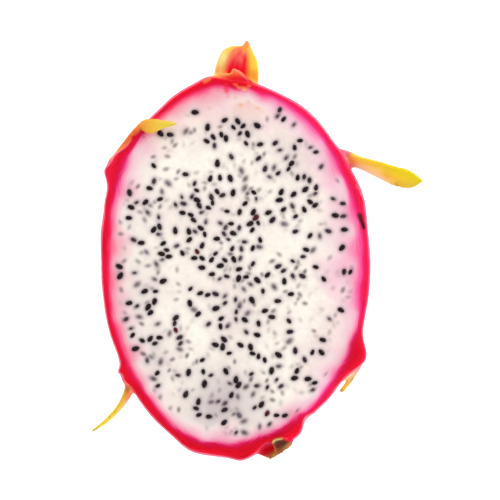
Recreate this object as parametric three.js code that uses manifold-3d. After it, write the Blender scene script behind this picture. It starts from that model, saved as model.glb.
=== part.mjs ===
// Half of a white-fleshed dragon fruit, cut lengthwise and lying on its rounded back, cut face up.
// Millimetres, +Z up, +Y towards the stem end. The origin is the middle of the flat spot it rests on.
import * as THREE from "three";
import { LoftGeometry } from "three/addons/geometries/LoftGeometry.js";
import { mergeVertices } from "three/addons/utils/BufferGeometryUtils.js";
import Module from "manifold-3d";

const wasm = await Module();
wasm.setup();

// The skin is an ellipsoid about the widest level, cut flat above that level and pressed flat below.
// Its hollow is made to reach a little past the cut.
const skin = { halfWidth: 40.6, halfLength: 57, depth: 38.2 };
const widestLevel = 37;
const cutLevel = 44;
const pastCut = 0.6;

// The flesh is a smaller ellipsoid about the same level, with a small flat foot, whose half angle is
// given in degrees. A thin gap parts it from the rind.
const pulp = { centreX: -0.5, centreY: 1.4, halfWidth: 36.8, halfLength: 52.9, depth: 34 };
const pulpFootAngle = 6;
const rindGap = 0.3;

// Where the skin swells behind a scale or sinks beside one: the angle round the outline and the level
// of the middle, how far the skin stands out there, and how far the swelling spreads both ways.
const swellings = [
  { angle: 150, level: 39, out: 2.8, spread: 6, rise: 11 },
  { angle: 164, level: 38, out: 1.1, spread: 8, rise: 12 },
  { angle: 112, level: 40, out: 1.8, spread: 12, rise: 12 },
  { angle: 76, level: 40, out: -0.6, spread: 8, rise: 12 },
  { angle: 44, level: 40, out: -0.5, spread: 5, rise: 8 },
  { angle: 34, level: 38, out: 1.2, spread: 4, rise: 8 },
  { angle: 23, level: 38, out: 1, spread: 6, rise: 8 },
  { angle: -17, level: 38, out: -0.7, spread: 5, rise: 9 },
  { angle: -27, level: 38, out: 3.4, spread: 3.6, rise: 9 },
  { angle: -48, level: 40, out: -0.7, spread: 7, rise: 9 },
  { angle: -66, level: 41, out: -3, spread: 11, rise: 9 },
  { angle: -87, level: 41, out: 1.4, spread: 5, rise: 6 },
  { angle: -111, level: 40, out: 1, spread: 8, rise: 8 },
  { angle: -148.5, level: 38, out: 1.9, spread: 2, rise: 7 },
];

// Scales that cross the level of the cut: each is a blade between two rails, from its root in the
// rind to its tip, with its thickness there and how deep its face is cupped.
const rimScales = {
  stemCup: {
    left: [
      [-6.4, 51.5, 36], [-6.2, 58.3, 38], [-5, 63.1, 39.6],
      [-2.3, 66.3, 40.6], [1.7, 67.2, 41], [3.1, 68.5, 41],
    ],
    right: [
      [6.6, 51.5, 36], [6.9, 58.7, 38], [6.9, 61.8, 39.6],
      [6, 64.8, 40.6], [4.7, 67, 41], [3.8, 68.5, 41],
    ],
    thickness: [3, 1],
    cup: -0.8,
  },
  stemFlap: {
    left: [[-6.8, 52.5, 41.6], [-6.4, 57.9, 42.7], [-2.3, 59.6, 43], [-1.3, 60.4, 43]],
    right: [[5.4, 52.5, 41.6], [4.9, 56.7, 42.7], [2.2, 59.1, 43], [-0.7, 60.4, 43]],
    thickness: [2, 0.9],
    cup: 0.2,
  },
  foldedTip: {
    left: [
      [-38.6, 29.4, 35.5], [-38.3, 32.4, 41], [-34.6, 37, 45.4],
      [-28.6, 40.4, 47], [-22.6, 41.7, 47], [-17.3, 43.6, 46.6],
    ],
    right: [
      [-25.2, 42.8, 35], [-25.9, 44.6, 40], [-26.6, 45.2, 44],
      [-24.4, 45, 46.6], [-20.5, 44.6, 47], [-17.1, 43.9, 46.6],
    ],
    thickness: [2.6, 0.8],
    cup: 0.3,
  },
  longRight: {
    left: [
      [29.5, 33.5, 41], [34, 34.4, 41.6], [39.7, 32.9, 41.8],
      [46.5, 31.2, 41.2], [52.5, 29.9, 40], [56.6, 26.9, 38.5],
    ],
    right: [
      [33, 27, 32], [37.2, 30, 34], [41.6, 27.8, 35.8],
      [47.6, 25.1, 37.2], [53, 24.6, 37.6], [56.2, 26.3, 38.3],
    ],
    thickness: [3, 0.8],
    cup: 0.8,
  },
  lowLeft: {
    left: [
      [-32.8, -29.8, 42], [-33.2, -35.4, 42.4], [-35.3, -40.7, 42.2],
      [-38.9, -44.9, 41.4], [-42.9, -48.4, 40],
    ],
    right: [
      [-29, -34, 31], [-31.9, -37.4, 33], [-34.5, -41.2, 35.2],
      [-38.5, -45.3, 37.5], [-42.6, -48.5, 39.2],
    ],
    thickness: [2.6, 0.8],
    cup: 0.5,
  },
  lowRight: {
    left: [
      [36.4, -24.6, 40.5], [37.7, -27.9, 41], [36.4, -31, 41],
      [34.4, -34.4, 40.4], [31.7, -36.8, 39.4],
    ],
    right: [
      [33.6, -26.6, 33], [35.2, -29.6, 34.6], [34.1, -32.2, 36.2],
      [32.9, -34.7, 37.6], [31.2, -36.6, 38.8],
    ],
    thickness: [2.6, 0.9],
    cup: 0.4,
  },
  blossomCurl: {
    left: [
      [21.2, -41, 39.6], [20.3, -44.6, 40.6], [19, -48.2, 40.8],
      [15.4, -52.6, 40], [10.4, -56.3, 39],
    ],
    right: [
      [15.5, -41.5, 28], [14.5, -46, 30], [12, -49.8, 32.5],
      [9.2, -53, 35.2], [7.4, -54.4, 37.4],
    ],
    thickness: [2.8, 0.9],
    cup: 0.8,
  },
};

// Scales of the back follow a spiral round the long axis and point to the blossom end. A station is
// the way from the scale's base, its lift off the skin, its share of the width, and its thickness.
const backScales = {
  turn: 137.5,
  count: 52,
  firstLatitude: 66,
  lastLatitude: -62,
  widestSide: 68,
  halfWidth: 7.5,
  cup: 1.1,
  pressedBelow: 12,
  outlineMargin: 0.5,
  flattenedFrom: -82,
  shortest: 0.6,
  shortestLatitude: 75,
  stations: [
    { along: -9, lift: -3, width: 0.5, thickness: 3 },
    { along: -3.5, lift: -0.9, width: 0.95, thickness: 3 },
    { along: 2.5, lift: 0.9, width: 1, thickness: 2.4 },
    { along: 8, lift: 2.2, width: 0.74, thickness: 1.6 },
    { along: 13, lift: 3.4, width: 0.4, thickness: 1.1 },
    { along: 17, lift: 5, width: 0.07, thickness: 0.8 },
  ],
};
const clearSpot = { y: 4, halfWidth: 17, halfLength: 27 };

// Seeds crowd round some places of the cut face and leave others bare: x, y, strength and radius.
const seeds = {
  count: 320,
  length: 2,
  width: 1.35,
  proud: 0.45,
  sunk: 0.5,
  spacing: 1.75,
  rimMargin: 1.8,
  evenShare: 0.42,
  flattening: 0.6,
  leanBelow: -28,
  leanAngle: 45,
  wobble: 75,
  smallest: 0.82,
  largest: 1.18,
  topShare: 0.66,
  firstDraw: 769876,
};
const seedPlaces = [
  { x: -3, y: 10, strength: 0.5, radius: 8 },
  { x: 2, y: -11, strength: 0.5, radius: 7 },
  { x: -4, y: -36, strength: 0.45, radius: 6 },
  { x: -3, y: 42, strength: 0.3, radius: 6 },
  { x: -13, y: 18, strength: 0.4, radius: 5 },
  { x: 13, y: -7, strength: 0.45, radius: 4 },
  { x: 18, y: 27, strength: 0.15, radius: 7 },
  { x: -29, y: -13, strength: 0.35, radius: 5 },
  { x: -25, y: 5, strength: 0.2, radius: 5 },
  { x: -26, y: -28, strength: 0.3, radius: 5 },
  { x: -30, y: 26, strength: 0.15, radius: 6 },
  { x: 12, y: 8, strength: -0.35, radius: 5 },
  { x: -13, y: -25, strength: -0.35, radius: 5 },
  { x: 23, y: -7, strength: -0.3, radius: 6 },
  { x: -20, y: -3, strength: -0.3, radius: 4 },
  { x: -19, y: 35, strength: -0.25, radius: 6 },
  { x: -18, y: -42, strength: -0.3, radius: 6 },
];
const bareStemZone = { x: 0, y: 53, halfWidth: 17, halfLength: 8 };

// Facets round each solid, kept few.
const facets = { skinRound: 72, skinUp: 11, pulpRound: 48, pulpUp: 9, rimScaleSteps: 7 };

// Vertices nearer than this are one, and a direction along a rail is taken this far to both sides.
const sameVertex = 1e-5;
const railStep = 0.01;

const degrees = Math.PI / 180;

// The cut across a blade: places from edge to edge, and shares of its half thickness.
const bladeSection = [
  [1, 0.4], [0.5, 1], [-0.5, 1], [-1, 0.4],
  [-1, -0.4], [-0.5, -1], [0.5, -1], [1, -0.4],
];

// The outline of a seed, blunt at one end and pointed at the other, in half lengths and half widths.
const seedOutline = [[1, 0], [0.15, 0.85], [-0.6, 0.9], [-1, 0], [-0.6, -0.9], [0.15, -0.85]];

// A solid through a row of rings, closed by a flat cap at both ends.
function solidThrough(rings) {
  const loft = new LoftGeometry(rings, { capStart: true, capEnd: true });
  const shape = new THREE.BufferGeometry();
  shape.setAttribute("position", loft.attributes.position);
  shape.setIndex(loft.index);
  const merged = mergeVertices(shape, sameVertex);
  const mesh = new wasm.Mesh({
    numProp: 3,
    vertProperties: merged.attributes.position.array,
    triVerts: new Uint32Array(merged.index.array),
  });
  return new wasm.Manifold(mesh);
}

function meshFrom(name, solid, material) {
  const data = solid.getMesh();
  const geometry = new THREE.BufferGeometry();
  geometry.setAttribute("position", new THREE.BufferAttribute(data.vertProperties, 3));
  geometry.setIndex(new THREE.BufferAttribute(data.triVerts, 1));
  geometry.computeVertexNormals();
  const mesh = new THREE.Mesh(geometry, material);
  mesh.name = name;
  return mesh;
}

// How far the skin stands out of its ellipsoid at an angle and level.
function swellingAt(angle, level) {
  let out = 0;
  for (const place of swellings) {
    const away = THREE.MathUtils.euclideanModulo(angle / degrees - place.angle + 180, 360) - 180;
    const around = away / place.spread;
    const upward = (level - place.level) / place.rise;
    out += place.out * Math.exp(-0.5 * (around * around + upward * upward));
  }
  return out;
}

// The share of the widest ring that an ellipsoid has at a level.
function ringShare(level, depth) {
  return Math.sqrt(1 - ((level - widestLevel) / depth) ** 2);
}

function skinPoint(angle, level) {
  const share = ringShare(level, skin.depth);
  const [x, y] = [Math.cos(angle), Math.sin(angle)];
  const outward = new THREE.Vector3(x / skin.halfWidth, y / skin.halfLength, 0);
  const point = new THREE.Vector3(x * skin.halfWidth, y * skin.halfLength, 0);
  point.multiplyScalar(share).addScaledVector(outward.normalize(), swellingAt(angle, level));
  return point.setZ(level);
}

// Levels from low to high that divide an ellipsoid's side into even arcs.
function levelsBetween(low, high, depth, steps) {
  const first = Math.asin((low - widestLevel) / depth);
  const last = Math.asin((high - widestLevel) / depth);
  const levels = [];
  for (let step = 0; step <= steps; step++) {
    levels.push(widestLevel + depth * Math.sin(first + ((last - first) * step) / steps));
  }
  return levels;
}

function makeSkinBody() {
  const rings = levelsBetween(0, cutLevel, skin.depth, facets.skinUp).map((level) => {
    const ring = [];
    for (let i = 0; i < facets.skinRound; i++) {
      ring.push(skinPoint((2 * Math.PI * i) / facets.skinRound, level));
    }
    return ring;
  });
  return solidThrough(rings);
}

// The pulp's ellipsoid made larger all round by a clearance and cut off at a level.
function makePulpBody(clearance, top) {
  const depth = pulp.depth + clearance;
  const lowest = widestLevel - depth * Math.cos(pulpFootAngle * degrees);
  const rings = levelsBetween(lowest, top, depth, facets.pulpUp).map((level) => {
    const share = ringShare(level, depth);
    const ring = [];
    for (let i = 0; i < facets.pulpRound; i++) {
      const angle = (2 * Math.PI * i) / facets.pulpRound;
      const x = pulp.centreX + (pulp.halfWidth + clearance) * share * Math.cos(angle);
      const y = pulp.centreY + (pulp.halfLength + clearance) * share * Math.sin(angle);
      ring.push(new THREE.Vector3(x, y, level));
    }
    return ring;
  });
  return solidThrough(rings);
}

// A blade through stations, each with its middle, the way to its left edge, its outward direction,
// its thickness and its cup.
function makeBlade(stations) {
  const rings = stations.map(({ middle, toEdge, outward, thickness, cup }) =>
    bladeSection.map(([across, share]) => {
      const point = middle.clone().addScaledVector(toEdge, across);
      return point.addScaledVector(outward, (share * thickness) / 2 - cup * across * across);
    }),
  );
  return solidThrough(rings);
}

function makeRimScale({ left, right, thickness, cup }) {
  const [leftRail, rightRail] = [left, right].map((points) => {
    const corners = points.map(([x, y, z]) => new THREE.Vector3(x, y, z));
    return new THREE.CatmullRomCurve3(corners, false, "catmullrom", 0.5);
  });
  const middleAt = (t) => leftRail.getPoint(t).lerp(rightRail.getPoint(t), 0.5);
  const stations = [];
  for (let step = 0; step <= facets.rimScaleSteps; step++) {
    const t = step / facets.rimScaleSteps;
    const toEdge = leftRail.getPoint(t).sub(rightRail.getPoint(t)).multiplyScalar(0.5);
    const forward = middleAt(Math.min(t + railStep, 1)).sub(middleAt(Math.max(t - railStep, 0)));
    const outward = forward.cross(toEdge).normalize();
    const thick = THREE.MathUtils.lerp(thickness[0], thickness[1], Math.sqrt(t));
    stations.push({ middle: middleAt(t), toEdge, outward, thickness: thick, cup: cup * (1 - t) });
  }
  return makeBlade(stations);
}

// A point of the back, by its latitude from the middle to the stem end and its side angle from
// straight below, with the outward direction and the way to the blossom end there.
function backFrame(latitude, side) {
  const { halfWidth, halfLength, depth } = skin;
  const around = new THREE.Vector3(Math.cos(latitude) * Math.sin(side), Math.sin(latitude), 0);
  around.z = -Math.cos(latitude) * Math.cos(side);
  const point = around.clone().multiply(new THREE.Vector3(halfWidth, halfLength, depth));
  const outward = around.clone().divide(new THREE.Vector3(halfWidth, halfLength, depth)).normalize();
  const blossomward = new THREE.Vector3(
    halfWidth * Math.sin(latitude) * Math.sin(side),
    -halfLength * Math.cos(latitude),
    -depth * Math.sin(latitude) * Math.cos(side),
  );
  const perDegree = blossomward.length() * degrees;
  point.z += widestLevel;
  return { point, outward, blossomward: blossomward.normalize(), perDegree };
}

// A back scale's stations. It lies close to the skin near the resting spot and near the blossom end.
function backStations({ latitude, side, size }) {
  const base = backFrame(latitude * degrees, side * degrees);
  const offSpot = THREE.MathUtils.smoothstep(base.point.z, 0, backScales.pressedBelow);
  const offBlossomEnd = THREE.MathUtils.smoothstep(latitude, backScales.flattenedFrom, 0);
  const free = Math.min(offSpot, offBlossomEnd);
  return backScales.stations.map(({ along, lift, width, thickness }) => {
    const here = latitude - (along * size) / base.perDegree;
    const { point, outward, blossomward } = backFrame(here * degrees, side * degrees);
    return {
      middle: point.addScaledVector(outward, lift * size * (lift > 0 ? free : 1)),
      toEdge: outward.clone().cross(blossomward).multiplyScalar(backScales.halfWidth * width * size),
      outward,
      thickness,
      cup: backScales.cup * width * size,
    };
  });
}

// Whether a back scale is hidden by the widest level of the skin from above.
function staysBelowSkin(place) {
  const margin = backScales.outlineMargin;
  const { halfWidth, halfLength } = skin;
  return backStations(place).every(({ middle }) =>
    insideEllipse(middle.x, middle.y, 0, 0, halfWidth - margin, halfLength - margin),
  );
}

// Where the spiral puts a scale on the back, clear of the cut and of the resting spot. Scales get
// shorter to both ends.
function backScalePlaces() {
  const { turn, count, firstLatitude, lastLatitude, widestSide } = backScales;
  const { shortest, shortestLatitude } = backScales;
  const places = [];
  for (let i = 0; i < count; i++) {
    const latitude = THREE.MathUtils.lerp(firstLatitude, lastLatitude, i / (count - 1));
    const side = ((i * turn) % 360) - 180;
    const { point } = backFrame(latitude * degrees, side * degrees);
    const size = THREE.MathUtils.lerp(1, shortest, (latitude / shortestLatitude) ** 2);
    const spot = clearSpot;
    const onSpot = insideEllipse(point.x, point.y, 0, spot.y, spot.halfWidth, spot.halfLength);
    const place = { latitude, side, size };
    if (Math.abs(side) < widestSide && !onSpot && staysBelowSkin(place)) {
      places.push(place);
    }
  }
  return places;
}

// A row of even draws from 0 to 1 that is the same on every run, from a linear congruential rule.
const drawRule = { times: 1664525, plus: 1013904223, states: 2 ** 32 };

function makeDraw(first) {
  let state = first;
  return () => {
    state = (Math.imul(state, drawRule.times) + drawRule.plus) >>> 0;
    return state / drawRule.states;
  };
}

function insideEllipse(x, y, centreX, centreY, halfWidth, halfLength) {
  return ((x - centreX) / halfWidth) ** 2 + ((y - centreY) / halfLength) ** 2 < 1;
}

function isSeedBed(x, y) {
  const { centreX, centreY, halfWidth, halfLength } = pulp;
  const margin = seeds.rimMargin;
  const inPulp = insideEllipse(x, y, centreX, centreY, halfWidth - margin, halfLength - margin);
  const zone = bareStemZone;
  return inPulp && !insideEllipse(x, y, zone.x, zone.y, zone.halfWidth, zone.halfLength);
}

function seedShare(x, y) {
  let share = seeds.evenShare;
  for (const place of seedPlaces) {
    const away = Math.hypot(x - place.x, y - place.y) / place.radius;
    share += place.strength * Math.exp(-0.5 * away * away);
  }
  return share;
}

// Seeds lie mostly along the way out to the rim, low down all lean one way, and they point either way.
function placeSeeds() {
  const draw = makeDraw(seeds.firstDraw);
  const placed = [];
  while (placed.length < seeds.count) {
    const x = pulp.centreX + (2 * draw() - 1) * pulp.halfWidth;
    const y = pulp.centreY + (2 * draw() - 1) * pulp.halfLength;
    const chance = draw();
    const free = placed.every((other) => Math.hypot(x - other.x, y - other.y) > seeds.spacing);
    if (isSeedBed(x, y) && chance < seedShare(x, y) && free) {
      const outward = Math.atan2(y * seeds.flattening, x) / degrees;
      const lie = y < seeds.leanBelow ? seeds.leanAngle : outward;
      const wobble = (draw() + draw() + draw() - 1.5) * seeds.wobble;
      const flip = draw() < 0.5 ? 180 : 0;
      const angle = (lie + wobble + flip) * degrees;
      const size = THREE.MathUtils.lerp(seeds.smallest, seeds.largest, draw());
      placed.push({ x, y, angle, size });
    }
  }
  return placed;
}

function makeSeed({ x, y, angle, size }) {
  const rings = [
    { level: cutLevel - seeds.sunk, share: 1 },
    { level: cutLevel + seeds.proud, share: seeds.topShare },
  ].map(({ level, share }) =>
    seedOutline.map(([along, across]) => {
      const u = (along * share * seeds.length * size) / 2;
      const v = (across * share * seeds.width * size) / 2;
      const turnedX = x + u * Math.cos(angle) - v * Math.sin(angle);
      const turnedY = y + u * Math.sin(angle) + v * Math.cos(angle);
      return new THREE.Vector3(turnedX, turnedY, level);
    }),
  );
  return solidThrough(rings);
}

function makeRind() {
  let outside = makeSkinBody();
  for (const scale of Object.values(rimScales)) {
    outside = outside.add(makeRimScale(scale));
  }
  for (const place of backScalePlaces()) {
    outside = outside.add(makeBlade(backStations(place)));
  }
  const hollow = makePulpBody(rindGap, cutLevel + pastCut);
  const material = new THREE.MeshStandardMaterial({ color: 0xe2123f, roughness: 0.42, metalness: 0 });
  return meshFrom("rind", outside.subtract(hollow), material);
}

function makeFlesh() {
  let body = makePulpBody(0, cutLevel);
  for (const seed of placeSeeds()) {
    body = body.add(makeSeed(seed));
  }
  const material = new THREE.MeshStandardMaterial({ color: 0xf7ece2, roughness: 0.4, metalness: 0 });
  return meshFrom("flesh", body, material);
}

const dragonFruitHalf = new THREE.Group();
dragonFruitHalf.add(makeRind(), makeFlesh());

export default dragonFruitHalf;
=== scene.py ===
import math

import bpy
import numpy as np
from mathutils import Matrix, Vector, noise
from mathutils.kdtree import KDTree


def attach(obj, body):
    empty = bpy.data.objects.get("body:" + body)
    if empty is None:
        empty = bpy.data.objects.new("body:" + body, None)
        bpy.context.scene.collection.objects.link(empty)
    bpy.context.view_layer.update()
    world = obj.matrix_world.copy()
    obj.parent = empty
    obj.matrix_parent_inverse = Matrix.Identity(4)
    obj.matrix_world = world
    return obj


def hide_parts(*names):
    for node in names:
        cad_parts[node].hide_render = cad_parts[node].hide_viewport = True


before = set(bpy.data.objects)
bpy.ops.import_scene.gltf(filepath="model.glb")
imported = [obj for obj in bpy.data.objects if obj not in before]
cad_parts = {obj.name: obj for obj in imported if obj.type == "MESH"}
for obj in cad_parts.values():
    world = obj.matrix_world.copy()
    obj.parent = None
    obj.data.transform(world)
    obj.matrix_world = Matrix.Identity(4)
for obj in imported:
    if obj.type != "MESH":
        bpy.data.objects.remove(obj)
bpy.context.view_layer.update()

# Half of a white-fleshed dragon fruit on its rounded back. Shapes are worked out in millimetres
# and become metres when a piece is finished.
metresPerMm = 0.001
sharpFrom = 55  # degrees between faces from which an edge stays sharp

fruit = {
    "halfWidth": 40.6,  # the skin's ellipsoid
    "halfLength": 57.0,
    "depth": 38.2,
    "widestLevel": 37.0,
    "cutLevel": 44.0,
    "pulpX": -0.5,  # the white pulp inside it
    "pulpY": 1.4,
    "pulpHalfWidth": 36.8,
    "pulpHalfLength": 52.9,
    "pulpDepth": 34.0,
    "pulpFlat": 4,  # degrees of its lower end that are flat
}
skinAxes = np.array([fruit["halfWidth"], fruit["halfLength"], fruit["depth"]])

# Where the skin swells behind a scale or sinks beside one: the angle round the outline, the level,
# how far it stands out, and how far that spreads round and up.
swellings = [
    (149, 42, 3.1, 5, 9),
    (150.2, 42, 1.6, 1.9, 7),
    (144.5, 41, 1.3, 2, 8),
    (159, 41, 0.6, 2.5, 8),
    (138, 40, 1.6, 5, 10),
    (134.5, 41, 1, 2.2, 8),
    (128, 41, 0.4, 3, 8),
    (164, 38, 1.1, 8, 12),
    (112, 40, 1.8, 12, 12),
    (100, 41, 1.4, 4.2, 9),
    (71, 40, -0.6, 8, 12),
    (44, 40, -0.3, 5, 8),
    (38.5, 42, 0.3, 2.5, 8),
    (23, 41, 1, 6, 8),
    (-17, 38, -0.3, 5, 9),
    (-27, 42, 3.4, 3.6, 9),
    (-39.5, 40, -0.8, 3.5, 9),
    (-50, 40, -1.9, 5, 9),
    (-56, 41, -2, 2.4, 9),
    (-75.5, 41, -2.6, 3.5, 9),
    (-88, 41, 0.9, 2.8, 7),
    (-109, 40, 1.1, 5, 8),
    (-144.5, 38, 1.5, 1.8, 7),
    (-147.9, 41, 1.5, 0.7, 5),
    (-154, 38, -0.5, 3, 8),
]


def smoothStep(value, low, high):
    share = np.clip((value - low) / (high - low), 0, 1)
    return share * share * (3 - 2 * share)


def linearColour(hexColour):
    shares = [int(hexColour[i : i + 2], 16) / 255 for i in (0, 2, 4)]
    return [c / 12.92 if c <= 0.04045 else ((c + 0.055) / 1.055) ** 2.4 for c in shares]


def addNode(tree, kind, inputs=None, stops=None, **settings):
    node = tree.nodes.new(kind)
    for name, value in settings.items():
        setattr(node, name, value)
    for name, value in (inputs or {}).items():
        if isinstance(value, bpy.types.NodeSocket):
            tree.links.new(value, node.inputs[name])
        else:
            node.inputs[name].default_value = value
    for i, (place, hexColour) in enumerate(stops or []):
        elements = node.color_ramp.elements
        element = elements[i] if i < 2 else elements.new(place)
        element.position = place
        element.color = (*linearColour(hexColour), 1)
    return node


def newMaterial(name):
    material = bpy.data.materials.new(name)
    material.use_nodes = True
    tree = material.node_tree
    tree.nodes.clear()
    return material, tree


def unit(vectors):
    return vectors / np.linalg.norm(vectors, axis=-1, keepdims=True)


# Angles evenly round a ring.
def anglesRound(count):
    return 2 * np.pi * np.arange(count) / count


# The angle round the outline at which each point lies.
def outlineAngle(points):
    return np.arctan2(points[:, 1] / fruit["halfLength"], points[:, 0] / fruit["halfWidth"])


# How wide an ellipsoid is at a level, as a share of its widest.
def ringShare(level, depth):
    return np.sqrt(np.clip(1 - ((level - fruit["widestLevel"]) / depth) ** 2, 0, None))


def swellingAt(angle, level):
    out = np.zeros(np.broadcast(angle, level).shape)
    for centre, height, stand, spread, rise in swellings:
        away = (np.degrees(angle) - centre + 180) % 360 - 180
        out += stand * np.exp(-0.5 * ((away / spread) ** 2 + ((level - height) / rise) ** 2))
    return out


# The skin at an angle and level, and the level way out there.
def skinPoint(angle, level):
    x, y = np.cos(angle), np.sin(angle)
    outward = unit(np.stack([x / fruit["halfWidth"], y / fruit["halfLength"]], axis=-1))
    share = ringShare(level, fruit["depth"])
    ring = np.stack([x * fruit["halfWidth"] * share, y * fruit["halfLength"] * share], axis=-1)
    return ring + outward * swellingAt(angle, level)[..., None], outward


def levelsBetween(low, high, depth, steps):
    first = math.asin((low - fruit["widestLevel"]) / depth)
    last = math.asin((high - fruit["widestLevel"]) / depth)
    return fruit["widestLevel"] + depth * np.sin(np.linspace(first, last, steps + 1))


# Faces round a row of rings, closed at both ends.
def tubeFaces(rings, around, first=0):
    faces = []
    for ring in range(rings - 1):
        low, high = first + ring * around, first + (ring + 1) * around
        for j in range(around):
            k = (j + 1) % around
            faces.append((low + j, low + k, high + k, high + j))
    faces.append(tuple(first + j for j in reversed(range(around))))
    faces.append(tuple(first + (rings - 1) * around + j for j in range(around)))
    return faces


def newPiece(name, points, faces):
    mesh = bpy.data.meshes.new(name)
    mesh.from_pydata(np.asarray(points).tolist(), [], faces)
    mesh.validate()
    piece = bpy.data.objects.new(name, mesh)
    bpy.context.scene.collection.objects.link(piece)
    return piece


def readPoints(mesh):
    points = np.zeros(len(mesh.vertices) * 3)
    mesh.vertices.foreach_get("co", points)
    return points.reshape(-1, 3)


def writePoints(mesh, points):
    mesh.vertices.foreach_set("co", np.asarray(points, dtype=np.float32).ravel())
    mesh.update()


def readNormals(mesh):
    normals = np.zeros(len(mesh.vertices) * 3)
    mesh.vertex_normals.foreach_get("vector", normals)
    return normals.reshape(-1, 3)


# A number, a place or a colour for each point of a mesh, for its material.
def writeShares(mesh, name, values):
    values = np.asarray(values, dtype=np.float32)
    if values.ndim == 1:
        mesh.attributes.new(name, "FLOAT", "POINT").data.foreach_set("value", values)
    elif values.shape[1] == 3:
        mesh.attributes.new(name, "FLOAT_VECTOR", "POINT").data.foreach_set("vector", values.ravel())
    else:
        mesh.attributes.new(name, "FLOAT_COLOR", "POINT").data.foreach_set("color", values.ravel())


def applyModifier(piece, kind, **settings):
    modifier = piece.modifiers.new(kind, kind)
    for name, value in settings.items():
        setattr(modifier, name, value)
    bpy.context.view_layer.update()
    shaped = piece.evaluated_get(bpy.context.evaluated_depsgraph_get())
    mesh = bpy.data.meshes.new_from_object(shaped)
    piece.modifiers.clear()
    old, piece.data = piece.data, mesh
    bpy.data.meshes.remove(old)


def finishPiece(piece, materials, slot, *nodes):
    mesh = piece.data
    mesh.transform(Matrix.Scale(metresPerMm, 4))
    for material in materials:
        mesh.materials.append(material)
    mesh.polygons.foreach_set("use_smooth", [True] * len(mesh.polygons))
    mesh.set_sharp_from_angle(angle=math.radians(sharpFrom))
    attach(piece, "root")
    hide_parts(*nodes)
    print(piece.name, len(mesh.vertices), "points")


# Smooth noise between -1 and 1 at each point, with lumps of about a length in millimetres.
def waves(points, length, seed):
    shift = Vector((seed * 17.3, seed * 5.1, seed * 9.7))
    return np.array([noise.noise(Vector(p) / length + shift) for p in points.tolist()])


# How the cut rind looks at angles round the outline: how wide the red is, over how much more it
# pales to pink (both in millimetres), and how far it turns to hot pink and to deep crimson.
rimLooks = [
    (0, 2.7, 2.7, 0.85, 0),
    (12, 2.1, 2.4, 0.85, 0),
    (22, 3.5, 1.8, 0.85, 0.1),
    (30, 3.2, 1.3, 0.85, 0.1),
    (35, 3.1, 1.5, 0.85, 0.1),
    (42, 2.5, 1.5, 0.9, 0),
    (47, 2.2, 1.1, 1, 0),
    (56, 2.5, 1.9, 0.95, 0),
    (66, 2, 1.5, 0.9, 0),
    (72, 2, 1.9, 0.8, 0),
    (78, 2.6, 1.6, 0.6, 0),
    (84, 2.2, 0.9, 0.3, 0.4),
    (90, 3, 1, 0.05, 0.7),
    (96, 3.1, 2.2, 0.05, 0.5),
    (102, 4, 2.4, 0, 0.3),
    (110, 3.1, 1.5, 0, 0.25),
    (120, 2.6, 1.2, 0, 0.05),
    (127, 1.8, 1.5, 0, 0.1),
    (136, 2.9, 1.1, 0.4, 0.5),
    (143, 3.7, 1.1, 0.8, 0.65),
    (149, 5, 1.7, 0.8, 0.7),
    (155, 3.2, 2, 0.6, 0.6),
    (161, 2.6, 1.1, 0.2, 0.3),
    (170, 3.1, 1.8, 0.1, 0.1),
    (176, 2.6, 1.2, 0.15, 0),
    (182, 2.5, 1.3, 0.2, 0),
    (188, 2.3, 1.5, 0.15, 0),
    (196, 1.9, 1.1, 0.15, 0),
    (203, 2.4, 1.7, 0.15, 0),
    (207, 2.1, 1.8, 0.15, 0.1),
    (214, 4, 1.2, 0.1, 0.3),
    (222, 3.5, 1, 0, 0.5),
    (231, 3.2, 0.9, 0.1, 0.5),
    (245, 3.4, 1, 0.1, 0.7),
    (251, 4.4, 0.9, 0, 0.9),
    (262, 4.2, 1.3, 0, 1),
    (271, 5.5, 1.9, 0, 0.9),
    (276, 5.4, 1.2, 0, 0.9),
    (281, 4.4, 1.6, 0.1, 1),
    (286, 3, 1.1, 0.1, 1),
    (291, 4.7, 1.1, 0.1, 1),
    (297, 5.7, 1.3, 0.3, 0.8),
    (301, 4.2, 1.2, 0.5, 0.6),
    (305, 1.4, 1.2, 0.8, 0.2),
    (312, 2.1, 1, 1, 0.1),
    (319, 2.5, 1.2, 1, 0.15),
    (325, 3.2, 1.4, 0.8, 0.5),
    (330, 4.8, 1.6, 0.6, 0.9),
    (335, 5.7, 1.2, 0.5, 0.9),
    (340, 2.4, 1.3, 0.7, 0.3),
    (346, 1.9, 1.3, 0.9, 0),
    (355, 3.2, 2.1, 0.85, 0),
]
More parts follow.
